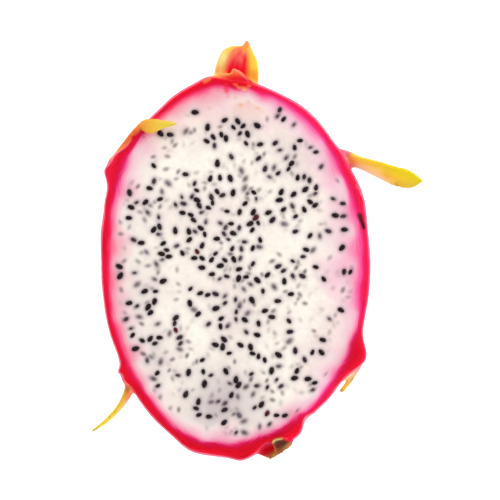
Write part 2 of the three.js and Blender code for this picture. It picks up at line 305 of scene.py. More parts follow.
rimFinish = {
    "outlineLevel": 39,
    "leastBand": 0.8,  # the least width of the red, and the usual one
    "usualBand": 2.5,
    "uneven": 0.3,  # millimetres that the red's width wanders
    "unevenLength": 5,
    "grainRound": 5,  # the length and the depth of a fibre along the rim
    "grainDeep": 0.5,
    "roundRadius": 48,
    "swing": 0.75,
    "blotch": 0.9,  # share by which the pink beyond the red comes and goes, at the noise's full swing
    "blotchLength": 5,
    "reach": 8,  # the stage that the last colour stands for; the red ends at stage 1
    "red": [(0.0, "f21638"), (0.25, "f00c2a"), (0.5, "ea0626"), (0.75, "ec0f3c"), (1.0, "f03460"),
            (1.25, "f3567c"), (1.5, "f4748f"), (2.0, "f49caa"), (2.6, "f0b4bc"), (3.2, "eec2c6"),
            (4.0, "efcfcf"), (5.0, "f2d9d5"), (6.5, "f5e3dc"), (8.0, "f8ebe2")],
    "pink": [(0.0, "f43070"), (0.25, "f22458"), (0.5, "f21a4e"), (0.75, "f21e62"), (1.0, "f43484"),
             (1.25, "f8569c"), (1.5, "fa70a8"), (2.0, "f89cc0"), (2.5, "f6b8cd"), (3.1, "f5c8d6"),
             (4.0, "f5d3db"), (5.0, "f6dbdf"), (6.5, "f7e4e2"), (8.0, "f9ebe4")],
    "deep": [(0.0, "f21a48"), (0.15, "f21236"), (0.35, "e80824"), (0.6, "d4061f"), (0.8, "ce0838"),
             (0.93, "da1c60"), (1.0, "e43a7a"), (1.2, "ea6496"), (1.5, "ee88a8"), (2.0, "f0aabe"),
             (2.6, "f1c0ca"), (3.2, "f2cdd3"), (4.0, "f4d8d9"), (5.0, "f5e0dd")],
}
rimShares = ("rimStage", "rimPink", "rimDeep", "rimGrain")


# How far points lie in from the outline in stages of the rim's colours, with the shares of hot
# pink and crimson there and a place in the rim's fibres. Between the angles of the table the red
# takes up each swelling, so that its inner edge runs smoothly.
def readRim(points):
    angle = outlineAngle(points)
    edge, outward = skinPoint(angle, np.full(len(points), rimFinish["outlineLevel"]))
    inward = ((edge - points[:, :2]) * outward).sum(axis=1)
    angles, *columns = np.array(rimLooks, dtype=float).T
    swollen = swellingAt(np.radians(angles), rimFinish["outlineLevel"])
    band, fade, pink, deep, held = (
        np.interp(np.degrees(angle), angles, column, period=360) for column in (*columns, swollen))
    band = np.maximum(band + swellingAt(angle, rimFinish["outlineLevel"]) - held, rimFinish["leastBand"])
    flat = points * [1, 1, 0]
    uneven = rimFinish["uneven"] / rimFinish["usualBand"]
    band = band * (1 + uneven * waves(flat, rimFinish["unevenLength"], 5))
    fade = fade * (1 + rimFinish["blotch"] * waves(flat, rimFinish["blotchLength"], 8))
    stage = np.where(inward < band, inward / band, 1 + (inward - band) / fade)
    radius = rimFinish["roundRadius"] / rimFinish["grainRound"]
    grain = np.column_stack([np.cos(angle) * radius, np.sin(angle) * radius, inward / rimFinish["grainDeep"]])
    return stage, pink, deep, grain, inward


def writeRim(mesh, rim):
    for name, values in zip(rimShares, rim):
        writeShares(mesh, name, values)


# The rim's colour from skin to pulp, broken up by fibres that run along it.
def addRimColour(tree):
    stage, pink, deep, grain = (
        addNode(tree, "ShaderNodeAttribute", attribute_name=name) for name in rimShares)
    fibres = addNode(tree, "ShaderNodeTexNoise", {
        "Vector": grain.outputs["Vector"], "Scale": 1.0, "Detail": 3.0, "Roughness": 0.6})
    swing = addNode(tree, "ShaderNodeMath", {
        0: fibres.outputs["Fac"], 1: rimFinish["swing"], 2: -rimFinish["swing"] / 2},
        operation="MULTIPLY_ADD")
    moved = addNode(tree, "ShaderNodeMath", {
        0: stage.outputs["Fac"], 1: swing.outputs["Value"]}, operation="ADD")
    place = addNode(tree, "ShaderNodeMath", {
        0: moved.outputs["Value"], 1: 1 / rimFinish["reach"]}, operation="MULTIPLY").outputs["Value"]
    ramps = {
        name: addNode(tree, "ShaderNodeValToRGB", {"Fac": place}, stops=[
            (at / rimFinish["reach"], colour) for at, colour in rimFinish[name]]).outputs["Color"]
        for name in ("red", "pink", "deep")}
    rim = ramps["red"]
    for share, name in ((pink, "pink"), (deep, "deep")):
        rim = addNode(tree, "ShaderNodeMix", {
            "Factor": share.outputs["Fac"], 6: rim, 7: ramps[name]}, data_type="RGBA").outputs[2]
    return rim, stage.outputs["Fac"], fibres.outputs["Fac"]


# Small marks on the cut: from and to, half width, colour and strength.
cutMarks = [
    ((37.1, 16.3), (37.5, 15.2), 0.8, "4a1a14", 1),
    ((37.4, 15.4), (38.4, 12.6), 0.6, "2e100c", 1),
    ((35.8, 27.4), (38, 20.4), 0.7, "ee061e", 0.6),
    ((36.1, 25.4), (37.7, 22.4), 0.3, "fa7488", 0.7),
    ((-9.4, 56.5), (-8, 57.2), 0.55, "f29040", 0.6),
    ((-2.4, 56.6), (3.8, 56), 0.9, "d40212", 0.65),
    ((-3.1, 55.4), (-2.8, 53.6), 0.8, "ee2040", 0.75),
    ((-2.7, 53.4), (-2.4, 52), 0.6, "f06a80", 0.4),
    ((-28.6, 41.9), (-27.7, 41.1), 0.45, "a81a2c", 0.7),
    ((-27.9, 40.1), (-27.6, 39.8), 0.4, "b83856", 0.5),
    ((-0.5, 55.7), (0.3, 55.3), 0.45, "f67a3c", 0.55),
    ((0.7, 54.7), (3.4, 54.3), 0.5, "fa9448", 0.55),
    ((2.1, 54), (2.8, 53.9), 0.4, "f8cf7a", 0.6),
    ((3.7, 55.3), (4.2, 55.1), 0.35, "f48a4a", 0.5),
    ((-0.3, 51.9), (0, 51.5), 0.4, "e4b070", 0.6),
    ((1.2, 49.5), (1.7, 49.3), 0.5, "e6b25e", 0.6),
    ((6.3, 48.6), (6.9, 48.4), 0.45, "e8b878", 0.6),
    ((-8.2, 48.6), (-7.8, 48.3), 0.4, "e0a878", 0.55),
    ((3.6, 50.6), (4, 50.2), 0.35, "e2b088", 0.5),
]


# Colour and share of the marks at each point.
def markCut(points):
    colour, share = np.zeros((len(points), 3)), np.zeros(len(points))
    for start, end, reach, hexColour, strength in cutMarks:
        start, along = np.array(start), np.array(end) - np.array(start)
        t = np.clip((points[:, :2] - start) @ along / (along @ along), 0, 1)
        away = np.linalg.norm(points[:, :2] - start - t[:, None] * along, axis=1) / reach
        mark = strength * np.exp(-(away**3))
        colour = np.where((mark > share)[:, None], linearColour(hexColour), colour)
        share = np.maximum(share, mark)
    return colour, share


# The scales that show round the cut. Each lies between two rails, from its root in the rind to its tip.
# Thickness is at the root and the tip. Cup is how far the middle stands off the edges. Veins, and
# waves of the edges, are how many and how high. Colours are given along the scale for the left edge,
# the middle and the right edge: middleTo is how far from the middle they change to the edge's, and
# streaks are how many and how far they carry a colour along.
rimScales = {
    "stemCup": {
        "left": [(-6.9, 51.5, 36), (-7, 57.6, 38), (-6.2, 61.8, 39.6), (-4.4, 65.7, 40.6), (-1.7, 67.2, 41),
                 (1.7, 67.4, 41), (3, 69, 41)],
        "right": [(6.2, 51.5, 36), (6.8, 57.6, 38), (6.8, 61.2, 39.6), (6.2, 63.8, 40.6), (5.1, 65.9, 41),
                  (4.4, 67.5, 41), (3.6, 69, 41)],
        "thickness": (3, 1),
        "cup": -0.8,
        "veins": (5, 0.10),
        "waves": (3, 0.2),
        "middleTo": (0.36, 0.7),
        "streaks": (5, 0.3),
        "colours": [
            (0.0, "f49c50", "e8102c", "fcc848"),
            (0.14, "fdbe68", "f20c2c", "fdd050"),
            (0.26, "ffe284", "fb0c2c", "fdda48"),
            (0.4, "ffea98", "fb1a3a", "fdd63c"),
            (0.5, "fde27a", "fa4a54", "fbd24a"),
            (0.6, "fbd660", "f97058", "fac94e"),
            (0.74, "fac858", "f8a04e", "f9b84e"),
            (0.84, "f4a850", "f58e48", "f6a44c"),
            (1.0, "f0a44c", "ee9444", "f0a04c"),
        ],
    },
    "stemFlap": {
        "left": [(-6.8, 52.5, 41.6), (-6.4, 57.4, 42.5), (-3.8, 59.1, 42.9), (-1.9, 58.8, 43),
                 (-1, 60.4, 43)],
        "right": [(5.8, 52.5, 41.6), (5.5, 55.8, 42.4), (3.9, 57.3, 42.8), (1.6, 59.4, 43), (-0.7, 60.4, 43)],
        "thickness": (2, 0.9),
        "cup": 0.2,
        "veins": (3, 0.08),
        "waves": (2, 0.15),
        "middleTo": (0.15, 0.9),
        "streaks": (3, 0.2),
        "colours": [
            (0.0, "e4082a", "d80420", "d80826"),
            (0.25, "f8683c", "d80418", "d40620"),
            (0.45, "faa052", "e81420", "dc1c30"),
            (0.7, "fca65a", "f4502e", "f68a68"),
            (0.86, "fca65a", "f67040", "f8a080"),
            (1.0, "fba45c", "fa9256", "fba882"),
        ],
    },
    "foldedTip": {
        "left": [(-36.9, 28.6, 35.5), (-36.6, 31.9, 36.5), (-35, 35.1, 37.5), (-32.4, 38.4, 39.2),
                 (-29.1, 41.7, 44.6), (-25.7, 40.5, 46.9), (-22, 42, 47), (-17.3, 43.5, 46.6)],
        "right": [(-38.7, 29.3, 40.2), (-38.4, 32.5, 41.2), (-36.3, 35, 41.5), (-33.6, 38.5, 42.5),
                  (-30.5, 42.4, 45.3), (-27.1, 45.1, 46.7), (-22.5, 44.9, 47), (-17.2, 43.9, 46.6)],
        "thickness": (1.5, 0.8),
        "cup": 0.3,
        "veins": (3, 0.06),
        "waves": (2, 0.1),
        "middleTo": (0.3, 1),
        "streaks": (3, 0.05),
        "paintTo": 0.12,
        "colours": [
            (0.0, "f0164a", "f0164a", "f0164a"),
            (0.12, "ee1a46", "f22c54", "f64a5c"),
            (0.24, "ea1c38", "ee4440", "fa9068"),
            (0.36, "e41a34", "ee4434", "fb803c"),
            (0.54, "e8402c", "f46c34", "fb8838"),
            (0.64, "f29a38", "f79a38", "f89a3a"),
            (0.74, "ecb83e", "eeb43e", "f0ae3e"),
            (0.85, "e6c848", "e8c446", "ecc044"),
            (1.0, "dccc44", "decb44", "e2ca46"),
        ],
    },
    "longRight": {
        "left": [(28.4, 36.6, 40.6), (33.1, 35, 41.5), (36.9, 33.5, 41.8), (41.4, 32.7, 41.7),
                 (46.7, 31.4, 41.2), (52.5, 29.9, 40), (56.6, 26.9, 38.5)],
        "right": [(33, 28.2, 32), (35.6, 30.8, 34), (37.6, 30.4, 35.2), (41.6, 28.2, 36), (47.4, 25.3, 37.2),
                  (53, 24.6, 37.6), (56.2, 26.3, 38.3)],
        "thickness": (3, 0.8),
        "cup": 0.8,
        "veins": (6, 0.08),
        "waves": (2, 0.06),
        "middleTo": (0.0, 0.72),
        "streaks": (3, 0.06),
        "underside": "left",  # the edge whose colours the underside has all over
        "colours": [
            (0.0, "f0265a", "f24672", "ee2050"),
            (0.12, "f4809a", "f4607e", "f4607c"),
            (0.18, "f69088", "f46880", "f88c54"),
            (0.22, "fac450", "fab078", "f8ac80"),
            (0.26, "f8d058", "feecb0", "fce8c4"),
            (0.35, "f8d044", "fff6b4", "fff8d8"),
            (0.46, "f6cc2c", "fdf0a0", "fff6d4"),
            (0.56, "f2ca22", "fce47c", "fff2c4"),
            (0.64, "ecca1a", "fac62c", "f8e084"),
            (0.7, "e8ca14", "f6c81c", "f2cc3c"),
            (0.715, "e6ca10", "f4ca18", "7a2c08"),
            (0.73, "e6cc0e", "f2cc18", "e8c42c"),
            (1.0, "dcc818", "e0c818", "dac61c"),
        ],
    },
    "lowLeft": {
        "left": [(-32.8, -29.8, 42), (-33.2, -35.4, 42.4), (-35.3, -40.7, 42.2), (-39, -45, 41.4),
                 (-43.5, -48.7, 40)],
        "right": [(-29, -34, 31), (-31.9, -37.4, 33), (-34.5, -41.2, 35.2), (-38.5, -45.4, 37.5),
                  (-43.3, -48.9, 39.2)],
        "thickness": (2.6, 0.8),
        "cup": 0.5,
        "veins": (3, 0.08),
        "waves": (3, 0.12),
        "middleTo": (0.3, 0.95),
        "streaks": (2, 0.06),
        "colours": [
            (0.0, "e81236", "e8183c", "ea1a3e"),
            (0.16, "ec5048", "f85244", "fa6250"),
            (0.22, "e8744a", "f86040", "fb7846"),
            (0.27, "c48434", "f87c3c", "fd9054"),
            (0.32, "d8a030", "fa903c", "fda058"),
            (0.42, "e2b830", "f8b848", "fed8a0"),
            (0.6, "e8c428", "f4cc38", "fce8a0"),
            (0.85, "ecd024", "eecc24", "ecd040"),
            (1.0, "ccbc38", "ccbc38", "c8b43c"),
        ],
    },
    "lowRight": {
        "left": [(36.4, -24.6, 40.5), (37.7, -28.1, 40.6), (36.8, -30.7, 40.2), (35.6, -32.8, 39.8),
                 (34.2, -34.9, 39.6), (32.2, -37.1, 39.4)],
        "right": [(34.8, -26.6, 37.6), (35.8, -29, 38.4), (34.4, -31.4, 38.8), (33.25, -33.4, 39),
                  (32.1, -35.2, 39.1), (30.9, -36.7, 39.2)],
        "thickness": (1.4, 0.9),
        "cup": 0.2,
        "veins": (3, 0.08),
        "waves": (2, 0.12),
        "middleTo": (0.1, 0.9),
        "streaks": (2, 0.06),
        "underside": "right",
        "colours": [
            (0.0, "f02a5a", "dc0e34", "d40a2c"),
            (0.2, "f66a80", "f49494", "f08088"),
            (0.4, "f8a48c", "f4b4a8", "f2a098"),
            (0.54, "f8cc80", "f8dca4", "f8d49c"),
            (0.64, "b89848", "f8e08c", "fadc80"),
            (0.76, "e6c44c", "f8dc6c", "fadc64"),
            (0.88, "f2c850", "f8d65a", "fad85c"),
            (1.0, "dcb048", "e0b84c", "e0b84c"),
        ],
    },
    "blossomCurl": {
        "left": [(21.2, -41, 39.6), (20.3, -44.6, 40.6), (18.9, -48.1, 40.8), (15.8, -52.4, 40),
                 (10.6, -57.2, 39)],
        "right": [(15.5, -41.5, 28), (14, -46, 30), (11, -50.4, 33.5), (7.8, -54, 37), (6.2, -55.5, 39)],
        "thickness": (2.8, 0.9),
        "cup": 0.8,
        "veins": (4, 0.12),
        "waves": (4, 0.35),
        "middleTo": (0.1, 0.8),
        "streaks": (3, 0.1),
        "colours": [
            (0.0, "f22456", "dc0a30", "d40a2c"),
            (0.4, "f43a6c", "f4183c", "fc1e40"),
            (0.7, "ec3c5c", "f4183a", "ff1e40"),
            (0.88, "c08440", "f4243c", "ff2442"),
            (1.0, "caa258", "e04c3c", "f43048"),
        ],
    },
    "blossomTip": {
        "left": [(17, -51.3, 42.4), (16.3, -52.6, 42.4), (14.8, -54.1, 42), (12.5, -55.6, 41),
                 (10.1, -57.4, 40)],
        "right": [(14.6, -51, 43.4), (12.5, -50.4, 44.6), (10.5, -51.4, 44.8), (11.5, -54, 43.6),
                  (9.9, -57, 40.4)],
        "thickness": (1.4, 0.8),
        "cup": -1.2,
        "veins": (3, 0.15),
        "waves": (3, 0.3),
        "middleAt": -0.18,  # the middle's colours lie off the middle, towards the right edge
        "middleTo": (0.45, 0.85),
        "streaks": (2, 0.1),
        "colours": [
            (0.0, "d84c50", "a41426", "b83038"),
            (0.14, "cc7440", "801c04", "e8c070"),
            (0.34, "bc8848", "4a1000", "f8e090"),
            (0.5, "a46c30", "641c00", "eecc7c"),
            (0.64, "94501c", "8a3408", "b47224"),
            (0.82, "b07830", "a05810", "b06e20"),
            (1.0, "c8a050", "bc9040", "b88838"),
        ],
    },
}


# A point of an even Catmull-Rom curve through the corners.
def railPoint(corners, t):
    corners = np.array(corners, dtype=float)
    held = np.vstack([2 * corners[0] - corners[1], corners, 2 * corners[-1] - corners[-2]])
    spans = len(corners) - 1
    span = min(int(t * spans), spans - 1)
    u = t * spans - span
    a, b, c, d = held[span : span + 4]
    return b + 0.5 * u * (c - a + u * (2 * a - 5 * b + 4 * c - d + u * (3 * (b - c) + d - a)))


bladeFinish = {
    "around": 28,
    "steps": 60,
    "edgeRoundness": 0.72,
    "paintAcross": 29,
    "paintFrom": 0.06,  # the way along over which a scale's colours take over from the skin's
    "paintTo": 0.2,
}


# How far a blade's face lies off its middle line, across it.
def bladeRise(row, t, across, lift, look):
    *_, thick, cup = row
    veinCount, veinHeight = look["veins"]
    waveCount, waveHeight = look["waves"]
    vein = veinHeight * np.cos(np.pi * veinCount * across) * np.sign(lift) * (1 - across**4) * min(1, 3 * t)
    wave = (waveHeight * np.sin(2 * np.pi * (waveCount * t + 0.15)) * across**4
            * np.sign(across) * min(1, 2 * t))
    return lift * thick / 2 - cup * across**2 + (vein + wave) * (1 - t**4)


def placeAcross(row, across, rise):
    middle, toEdge, outward, *_ = row
    return middle + across[:, None] * toEdge + rise[:, None] * outward


def bladePoints(rows, look):
    turn = anglesRound(bladeFinish["around"])
    roundness = bladeFinish["edgeRoundness"]
    across = np.sign(np.cos(turn)) * np.abs(np.cos(turn)) ** roundness
    lift = np.sign(np.sin(turn)) * np.abs(np.sin(turn)) ** roundness
    return np.concatenate([
        placeAcross(row, across, bladeRise(row, i / (len(rows) - 1), across, lift, look))
        for i, row in enumerate(rows)])


# Places on both faces of a blade, each with its colour and how much it covers the skin's own.
def bladePaint(rows, look):
    across = np.linspace(-1, 1, bladeFinish["paintAcross"])
    lift = (1 - np.abs(across) ** (2 / bladeFinish["edgeRoundness"])) ** (bladeFinish["edgeRoundness"] / 2)
    places = [stop[0] for stop in look["colours"]]
    colours = np.array([[linearColour(c) for c in stop[1:]] for stop in look["colours"]])
    edgeShare = smoothStep(np.abs(across - look.get("middleAt", 0)), *look["middleTo"])[:, None]
    streakCount, streakReach = look["streaks"]
    paintFrom, paintTo = (look.get(name, bladeFinish[name]) for name in ("paintFrom", "paintTo"))
    points, paints = [], []
    for i, row in enumerate(rows):
        t = i / (len(rows) - 1)
        moved = [t + streakReach * noise.noise(Vector((streakCount * a, 2.5 * t, row[0][0]))) for a in across]
        left, middle, right = (
            np.column_stack([np.interp(moved, places, colours[:, side, channel]) for channel in range(3)])
            for side in range(3))
        edge = np.where(across[:, None] > 0, left, right)
        colour = middle * (1 - edgeShare) + edge * edgeShare
        under = {"left": left, "right": right}.get(look.get("underside"), colour)
        cover = np.full(len(across), smoothStep(t, paintFrom, paintTo))
        for side, shown in ((1, colour), (-1, under)):
            points.append(placeAcross(row, across, bladeRise(row, t, across, side * lift, look)))
            paints.append(np.column_stack([shown, cover]))
    return np.concatenate(points), np.concatenate(paints)


def rimRows(look):
    near, rows = 0.01, []
    rootThick, tipThick = look["thickness"]
    for t in np.linspace(0, 1, bladeFinish["steps"]):
        left, right = railPoint(look["left"], t), railPoint(look["right"], t)
        ahead, behind = min(t + near, 1), max(t - near, 0)
        forward = sum(
            railPoint(look[side], ahead) - railPoint(look[side], behind) for side in ("left", "right"))
        outward = unit(np.cross(forward, left - right))
        thick = rootThick + (tipThick - rootThick) * math.sqrt(t)
        rows.append(((left + right) / 2, (left - right) / 2, outward, thick, look["cup"] * (1 - t)))
    return rows


# The scales of the back follow a spiral round the long axis and point to the blossom end.
backScales = {
    "turn": 137.5,  # degrees round from each place to the next
    "count": 52,  # places on the whole fruit, of which the back keeps those that it has room for
    "firstLatitude": 66,
    "lastLatitude": -62,
    "flattenedFrom": -82,  # from here on to the middle a scale's tip stands up more and more
    "widestSide": 68,
    "halfWidth": 7.5,
    "cup": 1.1,
    "pressedBelow": 12,
    "outlineMargin": 0.5,
    "shortest": 0.6,
    "shortestLatitude": 75,
    "spotY": 4,  # no scale where the fruit rests
    "spotHalfWidth": 17,
    "spotHalfLength": 27,
    # the way from the base, lift off the skin, share of the width, thickness
    "stations": [
        (-9, -3, 0.5, 3),
        (-3.5, -0.9, 0.95, 3),
        (2.5, 0.9, 1, 2.4),
        (8, 2.2, 0.74, 1.6),
        (13, 3.4, 0.4, 1.1),
        (17, 5, 0.07, 0.8),
    ],
    "steps": 34,
    "veins": (5, 0.09),
    "waves": (2.5, 0.22),
    "middleTo": (0.25, 1),
    "streaks": (4, 0.12),
    "paintFrom": 0.3,
    "paintTo": 0.6,
    "colours": [
        (0.0, "e0143c", "e0143c", "e0143c"),
        (0.45, "ea2a3e", "e2183c", "ea2a3e"),
        (0.62, "f27c3c", "e62c3a", "f27c3c"),
        (0.76, "f4b842", "ee6c3c", "f4b842"),
        (0.88, "ecc83c", "f0a83e", "ecc83c"),
        (0.95, "d4c23a", "dcb83c", "d4c23a"),
        (1.0, "9c9a34", "a89e36", "9c9a34"),
    ],
}


# A point of the back, with the ways outward and to the blossom end, and millimetres for a degree.
def backFrame(latitude, side):
    lat, turned = math.radians(latitude), math.radians(side)
    around = np.array([math.cos(lat) * math.sin(turned), math.sin(lat), -math.cos(lat) * math.cos(turned)])
    down = skinAxes * np.array([
        math.sin(lat) * math.sin(turned), -math.cos(lat), -math.sin(lat) * math.cos(turned)])
    point = around * skinAxes + np.array([0, 0, fruit["widestLevel"]])
    return point, unit(around / skinAxes), unit(down), np.linalg.norm(down) * math.radians(1)


# A smooth value through one column of the stations.
def throughStations(column, at):
    alongs = np.array([station[0] for station in backScales["stations"]], dtype=float)
    values = np.array([station[column] for station in backScales["stations"]], dtype=float)
    slopes = np.gradient(values, alongs)
    span = np.clip(np.searchsorted(alongs, at, side="right") - 1, 0, len(alongs) - 2)
    gap = alongs[span + 1] - alongs[span]
    u = (at - alongs[span]) / gap
    start, end = values[span], values[span + 1]
    leaving, arriving = slopes[span] * gap - end + start, end - start - slopes[span + 1] * gap
    bend = u * (1 - u) * ((1 - u) * leaving + u * arriving)
    return start + u * (end - start) + bend


def backRows(latitude, side, size, alongs):
    point, _, _, perDegree = backFrame(latitude, side)
    offSpot = smoothStep(point[2], 0, backScales["pressedBelow"])
    offBlossomEnd = smoothStep(latitude, backScales["flattenedFrom"], 0)
    free = min(offSpot, offBlossomEnd)
    rows = []
    for along in alongs:
        here, outward, down, _ = backFrame(latitude - along * size / perDegree, side)
        lift = throughStations(1, along) * size
        width = max(throughStations(2, along), 0.05) * size
        middle = here + outward * (lift * free if lift > 0 else lift)
        toEdge = np.cross(outward, down) * backScales["halfWidth"] * width
        rows.append((middle, toEdge, outward, throughStations(3, along), backScales["cup"] * width))
    return rows


def insideEllipse(x, y, centreX, centreY, halfWidth, halfLength):
    return ((x - centreX) / halfWidth) ** 2 + ((y - centreY) / halfLength) ** 2 < 1


# Where the spiral puts a scale, clear of the cut and of the resting spot.
def backPlaces():
    kept = []
    margin = backScales["outlineMargin"]
    reach = (fruit["halfWidth"] - margin, fruit["halfLength"] - margin)
    alongs = [station[0] for station in backScales["stations"]]
    first, last = backScales["firstLatitude"], backScales["lastLatitude"]
    for i in range(backScales["count"]):
        share = i / (backScales["count"] - 1)
        latitude = first + share * (last - first)
        side = (i * backScales["turn"]) % 360 - 180
        size = 1 + (backScales["shortest"] - 1) * (latitude / backScales["shortestLatitude"]) ** 2
        point, *_ = backFrame(latitude, side)
        spot = (0, backScales["spotY"], backScales["spotHalfWidth"], backScales["spotHalfLength"])
        if abs(side) >= backScales["widestSide"] or insideEllipse(point[0], point[1], *spot):
            continue
        rows = backRows(latitude, side, size, alongs)
        if all(insideEllipse(row[0][0], row[0][1], 0, 0, *reach) for row in rows):
            kept.append((latitude, side, size))
    return kept


def backBladeRows(latitude, side, size):
    stations = backScales["stations"]
    alongs = np.linspace(stations[0][0], stations[-1][0], backScales["steps"])
    return backRows(latitude, side, size, alongs)


rindForm = {
    "around": 400,
    "levels": 70,
    "voxel": 0.42,  # finer than the thinnest scale's tip
    "filletReach": 1.5,
    "filletStep": 0.6,  # share of the way to the neighbours' middle in each pass
    "filletPasses": 16,
    "evenSteps": (0.5, -0.52),  # the step back keeps thin tips from shrinking
    "evenOnCut": 0.35,
    "evenPasses": 5,
    "roomAround": 360,  # the room for the pulp, which is taken out up to a little past the cut
    "roomLevels": 40,
    "roomPastCut": 0.6,
    "mostTriangles": 186000,
    "ripple": 0.16,  # soft unevenness of the skin
    "rippleLength": 9,
    "pore": 0.05,
    "poreLength": 1.6,
    "cutRelief": 0.07,  # fibres that stand up in the cut rind
    "cutKept": 0.5,  # millimetres below the cut that keep their fine mesh
    "cutBlend": (0.2, 0.6),  # millimetres off the cut over which its colours give way
    "cutFaces": (0.15, 0.85),  # how near the cut a face lies and how far it looks up
    "scaleReach": (0.7, 1.8),  # how near a point has to be to a scale to take its colour
    "scaleReachOnCut": (0.25, 0.6),
    "paintReach": 3,  # points this near hold a scale's colour, so that none fades through black
    "paintSamples": 5,  # how many places of the scales a point's colour is mixed from
    "paintSoftness": 0.15,
}


# Moves points towards the middle of their neighbours by their weights. If normals are given, only
# points in hollows move.
def smoothed(points, edges, weights, passes, normals=None):
    count = len(points)
    ends = np.concatenate([edges[:, 0], edges[:, 1]])
    others = np.concatenate([edges[:, 1], edges[:, 0]])
    neighbours = np.maximum(np.bincount(ends, minlength=count), 1)
    for _ in range(passes):
        middle = np.column_stack([
            np.bincount(ends, weights=points[others, axis], minlength=count) / neighbours for axis in range(3)
        ])
        step = (middle - points) * weights[:, None]
        if normals is not None:
            step *= ((step * normals).sum(axis=1) > 0)[:, None]
        points = points + step
    return points


# Roughly how far points stand out of the swollen skin.
def skinHeight(points):
    fromCentre = points - np.array([0, 0, fruit["widestLevel"]])
    size = np.linalg.norm(fromCentre / skinAxes, axis=1)
    slope = np.linalg.norm(fromCentre / skinAxes**2, axis=1) / np.maximum(size, 1e-6)
    return (size - 1) / np.maximum(slope, 1e-6) - swellingAt(outlineAngle(points), points[:, 2])


# The levels of the pulp from its flat lower end up to a level.
def pulpLevels(high, steps):
    lowest = fruit["widestLevel"] - fruit["pulpDepth"] * math.cos(math.radians(fruit["pulpFlat"]))
    return levelsBetween(lowest, high, fruit["pulpDepth"], steps)


def pulpRing(level, turn):
    share = ringShare(level, fruit["pulpDepth"])
    return np.column_stack([
        fruit["pulpX"] + fruit["pulpHalfWidth"] * share * np.cos(turn),
        fruit["pulpY"] + fruit["pulpHalfLength"] * share * np.sin(turn),
        np.full(len(turn), level),
    ])


def makeRindShape(blades):
    around = rindForm["around"]
    turn = anglesRound(around)
    levels = levelsBetween(0, fruit["cutLevel"], fruit["depth"], rindForm["levels"])
    points, faces = [], tubeFaces(len(levels), around)
    for level in levels:
        ring, _ = skinPoint(turn, np.full(around, level))
        points.append(np.column_stack([ring, np.full(around, level)]))
    first = around * len(levels)
    for rows, look in blades:
        blade = bladePoints(rows, look)
        points.append(blade)
        faces += tubeFaces(len(rows), bladeFinish["around"], first)
        first += len(blade)
    piece = newPiece("rindSkin", np.concatenate(points), faces)
    applyModifier(piece, "REMESH", mode="VOXEL", voxel_size=rindForm["voxel"])
    print("rind fused,", len(piece.data.vertices), "points")
    softenRind(piece.data)
    hollowRind(piece)
    return piece


# Fillets where scales leave the skin, and the skin's own soft unevenness.
def softenRind(mesh):
    points = readPoints(mesh)
    edges = np.zeros(len(mesh.edges) * 2, dtype=np.int64)
    mesh.edges.foreach_get("vertices", edges)
    edges = edges.reshape(-1, 2)
    height = skinHeight(points)
    belowCut = smoothStep(fruit["cutLevel"] - points[:, 2], 0.2, 2.5)
    offFloor = smoothStep(points[:, 2], 0.1, 2)
    close = np.exp(-((height / rindForm["filletReach"]) ** 2))  # fillets only beside the skin
    fillet = rindForm["filletStep"] * close * belowCut * offFloor
    points = smoothed(points, edges, fillet, rindForm["filletPasses"], readNormals(mesh))
    # the small steps of the fused mesh go, least at the cut's edge
    loose = np.maximum(belowCut, smoothStep(points[:, 2] - fruit["cutLevel"], 0.2, 1.2))
    even = np.maximum(loose, rindForm["evenOnCut"]) * offFloor
    for step in rindForm["evenSteps"] * rindForm["evenPasses"]:
        points = smoothed(points, edges, step * even, 1)
    writePoints(mesh, points)
    normals = readNormals(mesh)
    ripple = rindForm["ripple"] * waves(points, rindForm["rippleLength"], 1)
    ripple += rindForm["pore"] * waves(points, rindForm["poreLength"], 2)
    points = points + normals * (ripple * belowCut * offFloor)[:, None]
    # fibres of the cut rind, clear of its outer edge and of the pulp
    *_, grain, inward = readRim(points)
    onCut = smoothStep(np.abs(points[:, 2] - fruit["cutLevel"]), 0.3, 0.1) * smoothStep(inward, 1.2, 1.8)
    pulpAway = np.hypot(
        (points[:, 0] - fruit["pulpX"]) / fruit["pulpHalfWidth"],
        (points[:, 1] - fruit["pulpY"]) / fruit["pulpHalfLength"])
    onCut *= smoothStep(pulpAway, 0.985, 1.01)
    points[:, 2] += rindForm["cutRelief"] * onCut * waves(grain * [1, 1, 0.4], 1, 6)
    writePoints(mesh, points)


# Takes the pulp's room out of the fused solid.
def hollowRind(piece):
    turn = anglesRound(rindForm["roomAround"])
    levels = pulpLevels(fruit["cutLevel"] + rindForm["roomPastCut"], rindForm["roomLevels"])
    rings = np.concatenate([pulpRing(level, turn) for level in levels])
    room = newPiece("pulpRoom", rings, tubeFaces(len(levels), len(turn)))
    applyModifier(piece, "BOOLEAN", operation="DIFFERENCE", object=room, solver="MANIFOLD")
    bpy.data.objects.remove(room)
    triangles = sum(len(polygon.vertices) - 2 for polygon in piece.data.polygons)
    print("rind hollowed,", triangles, "triangles")
    if triangles > rindForm["mostTriangles"]:
        lower = readPoints(piece.data)[:, 2] < fruit["cutLevel"] - rindForm["cutKept"]
        piece.vertex_groups.new(name="belowCut").add(np.flatnonzero(lower).tolist(), 1.0, "REPLACE")
        ratio = rindForm["mostTriangles"] / triangles
        applyModifier(piece, "DECIMATE", ratio=ratio, vertex_group="belowCut")


